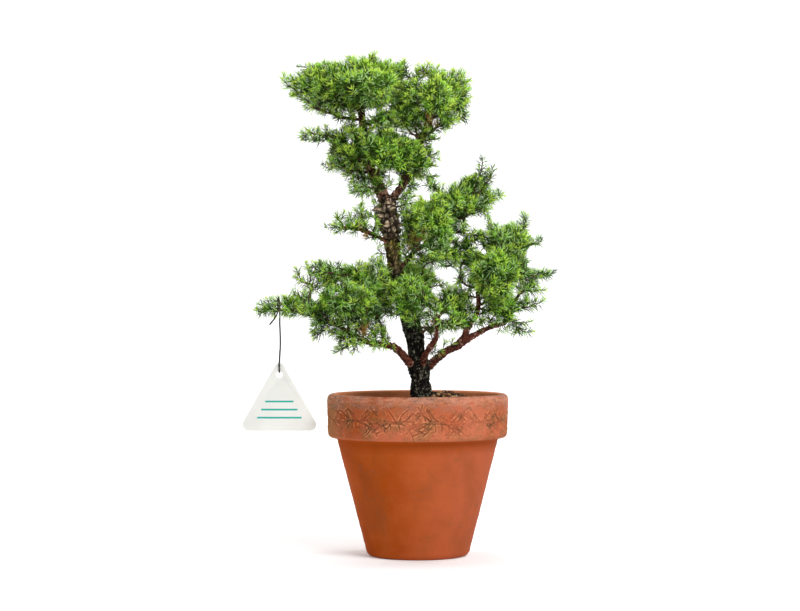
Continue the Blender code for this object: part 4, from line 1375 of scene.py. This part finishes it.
# As the camera sees them: dry sprays, and parts of the crown where few shoots are new.
DRY_SPRAYS = np.array((
    (-51.3, 220), (-74.2, 217), (18.7, 227), (4.0, 315), (-4.0, 309), (-9.0, 301), (8.0, 431),
    (16.0, 427), (98.7, 272.7), (-47.0, 318.4), (-59.0, 218), (16.0, 234.0), (13.0, 220.0),
    (-22.0, 421.0),
))
MATURE = np.array((
    (-55, 463, 26, 20), (98, 290, 14, 14), (-60, 262, 30, 20), (15, 250, 30, 18),
    (-34, 410, 14, 16),
))


def kinds_for(index):
    """Which old and new finish a spray has, by its place in the crown and by chance."""
    place = places[index]
    seen = as_seen(place[None])[0]
    if np.linalg.norm(DRY_SPRAYS - seen, axis=1).min() < DRY_REACH and chance.random() < DRY_CHANCE:
        return "dry", "dry"
    inner = max(0.0, 1 - abs(place[0] + 20) / 60) * (place[2] < 300)
    high = np.clip((place[2] - 330) / 120, 0, 1)
    shares = np.array(
        (0.36, 0.32 + 0.1 * high, 0.22 - 0.12 * high, 0.10 + 0.05 * high, 0.02 * inner)
    )
    old = OLD_KINDS[chance.choice(5, p=shares / shares.sum())]
    if chance.random() < OLD_CHANCES[int(in_opening(place[None], 0.0, MATURE)[0])]:
        return old, old
    shares = np.array((0.5, 0.16 + 0.25 * high, 0.34))
    return old, NEW_KINDS[chance.choice(3, p=shares / shares.sum())]


stem_shapes = []
for index in range(len(places)):
    way = shoot_way(index)
    room = room_ahead(places[index], way)
    most = INNER_MOST if children[index] else OUTER_MOST
    reach = float(np.clip(room - NEEDLE_ROOM, LEAST, most)) * chance.uniform(0.85, 1.1)
    share = np.linspace(0, 1, 5)[:, None]
    line = places[index] + way * reach * share + UP * RISE * reach * share**2
    if in_opening(line[2:], -0.5).any():
        continue
    old, new = kinds_for(index)
    tip = "lemon" if new in NEW_KINDS and chance.random() < LEMON_CHANCE else new
    fresh = min(0.9, float(chance.uniform(*FRESH_LENGTH)) / reach)
    stem_shapes.append(tube(line, np.linspace(*STEM_RADII, 5), 3))
    back = float(chance.uniform(0.0, 0.15))
    vigour = chance.triangular(*VIGOUR)
    old_habit, new_habit = (INNER_OLD, INNER_NEW) if children[index] else (OUTER_OLD, OUTER_NEW)
    whorls(old, line, back, 1 - fresh, old_habit, vigour)
    whorls(new, line, 1 - fresh, 1.0, new_habit, vigour)
    whorls(tip, line, 0.94, 1.02, BUD, vigour)

for line, widths in twig_lines:
    thin = widths < THIN_TWIG
    if thin.sum() > 2:
        kind = OLD_KINDS[chance.choice(len(TWIG_SHARES), p=TWIG_SHARES)]
        whorls(kind, line[thin], 0.05, 1.0, ON_TWIG)
print(len(stem_shapes), "shoots")

# %% Needle meshes
MOST_TRIANGLES = 190000
NEW_BROADEST = 0.42  # where along its length a needle is broadest
OLD_BROADEST = 0.28
NEEDLE_FINISHES = {
    # The darkest green, for old needles and also as painted shade inside the crown.
    "deep": ((0.027, 0.076, 0.006), 0.45),
    "mid": ((0.125, 0.310, 0.018), 0.45),
    # Whitish green for the stomatal bands, pale enough to be also a painted highlight on the
    # needles.
    "glaucous": ((0.500, 0.780, 0.300), 0.5),
    "olive": ((0.195, 0.250, 0.038), 0.5),
    "dry": ((0.480, 0.260, 0.080), 0.7),
    "fresh": ((0.520, 0.820, 0.085), 0.45),
    "lemon": ((0.660, 0.900, 0.120), 0.45),
    "bright": ((0.340, 0.680, 0.070), 0.45),
}


def blades(rows, broadest):
    """Slim three-sided blades with a sharp tip, broadest at a share of their length."""
    base, way, side = rows[:, 0:3], rows[:, 3:6], rows[:, 6:9]
    length, width = rows[:, 9:10], rows[:, 10:11]
    up = np.cross(side, way)
    middle = base + way * length * broadest
    rings = [base]
    for across, rise in ((-0.5, 0.1), (0.5, 0.1), (0.0, -0.38)):
        rings.append(middle + side * width * across + up * width * rise)
    rings.append(base + way * length)
    faces = [(0, 2, 1), (0, 3, 2), (0, 1, 3), (1, 2, 4), (2, 3, 4), (3, 1, 4)]
    return np.stack(rings, axis=1), np.array(faces)


def needle_pieces(kind, rows):
    """The needles of one kind as pieces from the bottom up, none with too many triangles."""
    points, faces = blades(rows, NEW_BROADEST if kind in NEW_KINDS else OLD_BROADEST)
    order = np.argsort(rows[:, 2])
    share = math.ceil(len(rows) * len(faces) / MOST_TRIANGLES)
    for number, part in enumerate(np.array_split(order, share)):
        chosen = points[part]
        start = np.arange(len(part)) * chosen.shape[1]
        triangles = (start[:, None, None] + faces[None]).reshape(-1, 3)
        yield mesh_piece(f"needles_{kind}_{number}", chosen.reshape(-1, 3), triangles, smooth=False)


needle_items = []
for kind, (colour, roughness) in NEEDLE_FINISHES.items():
    green = Finish("needles_" + kind, colour, roughness, 0.08)
    for item in needle_pieces(kind, np.concatenate(needle_rows[kind])):
        green.cover(item)
        needle_items.append(item)
total = sum(len(item.data.polygons) for item in needle_items)
print(len(needle_items), "pieces of needles,", total, "triangles")

# %% Twigs and stems
twig_bark = Finish("twig_bark", (0.16, 0.06, 0.035), 0.8)
patch = twig_bark.between(twig_bark.cloud(6, 3.0), 0.35, 0.65)
twig_bark.paint(twig_bark.coats((0.035, 0.018, 0.010), ((0.13, 0.055, 0.030), patch)))
twig_bark.cover(twigs)
stems = joined("shoot_stems", stem_shapes)
Finish("shoot_green", (0.13, 0.20, 0.035), 0.6).cover(stems)
for item in (twigs, stems, *needle_items):
    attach(item, PLANT)
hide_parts(*MASSES)
print("stems:", len(stems.data.polygons), "triangles")

# %% [markdown]
# ## Label
#
# A triangle of white plastic sheet with rounded corners hangs in a loop of thin wire. It is a
# merged copy of the packed label, with its edges eased by a small bevel, because a sharp edge
# catches no light. Three ruled lines of teal ink show where a grower would write: thin raised
# strips, as a screen print leaves them, which an exported mesh keeps and a texture might not.

# %% Label
EASED = 0.22
label = mesh_piece("label_tag", *merged("label"), smooth=False)
edit(label, "FACE", "SELECT")
bpy.ops.mesh.dissolve_limited(angle_limit=math.radians(1.0))
done()
shaped_by(
    label, "BEVEL", width=EASED * MM, segments=2,
    limit_method="ANGLE", angle_limit=math.radians(50),
)
bpy.ops.object.shade_smooth_by_angle(angle=math.radians(35))

plastic = Finish("white_plastic", (0.78, 0.78, 0.74), 0.35)
dust = plastic.between(plastic.cloud(18, 3.0), 0.4, 0.75)
plastic.paint(plastic.coats((0.79, 0.79, 0.75), ((0.745, 0.745, 0.70), dust)))
plastic.cover(label)
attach(label, "label")
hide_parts("label")
print("label:", len(label.data.polygons), "faces")

# %% Ruled lines
INK_THICK = 0.12
INK_SUNK = 0.03
LINES = ((13.0, 44.0, 1.7), (21.0, 36.0, 1.7), (29.0, 28.0, 1.7))  # height, width and thickness
label_low, label_high = (np.array(corner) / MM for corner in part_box("label"))
label_middle = (label_low[0] + label_high[0]) / 2
ink_items = []
for up, wide, tall in LINES:
    place = (label_middle, label_low[1] - INK_THICK / 2 + INK_SUNK, label_low[2] + up)
    bpy.ops.mesh.primitive_cube_add(size=1.0, location=Vector(place) * MM)
    strip = bpy.context.object
    strip.scale = (wide * MM, INK_THICK * MM, tall * MM)
    ink_items.append(settle(strip, "ink_line"))
deselect_all()
for strip in ink_items:
    strip.select_set(True)
bpy.context.view_layer.objects.active = ink_items[0]
bpy.ops.object.join()
ink = settle(bpy.context.object, "ruled_lines")
Finish("teal_ink", (0.005, 0.40, 0.34), 0.4).cover(ink)
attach(ink, "label")
print(len(LINES), "lines, the longest", LINES[0][1], "mm")

# %% [markdown]
# ## Wire
#
# A thin dark wire is bent over the twig, runs down and passes through the label's hole. It could be
# swept along a curve again; the packed wire already has its route, so a merged copy of it is only
# given a thin skin with a Displace modifier, as the coat of paint on a real tie.

# %% Wire
COAT = 0.2
wire = mesh_piece("wire_loop", *merged("label_wire"))
shaped_by(wire, "DISPLACE", strength=COAT * MM, mid_level=0.0)
Finish("wire_coat", (0.020, 0.011, 0.011), 0.8, 0.1).cover(wire)
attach(wire, PLANT)
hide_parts("label_wire")
print("wire:", len(wire.data.polygons), "faces, with a coat of", COAT, "mm")

# %% [markdown]
# ## Size
#
# The packed model and this one must take up the same room. Both sets of bounds are worked out.

# %% Size and finish
bpy.context.view_layer.update()
for title, bounds in (("frame", frame_bounds), ("visual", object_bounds())):
    [[float(value) for value in corner] for corner in bounds]
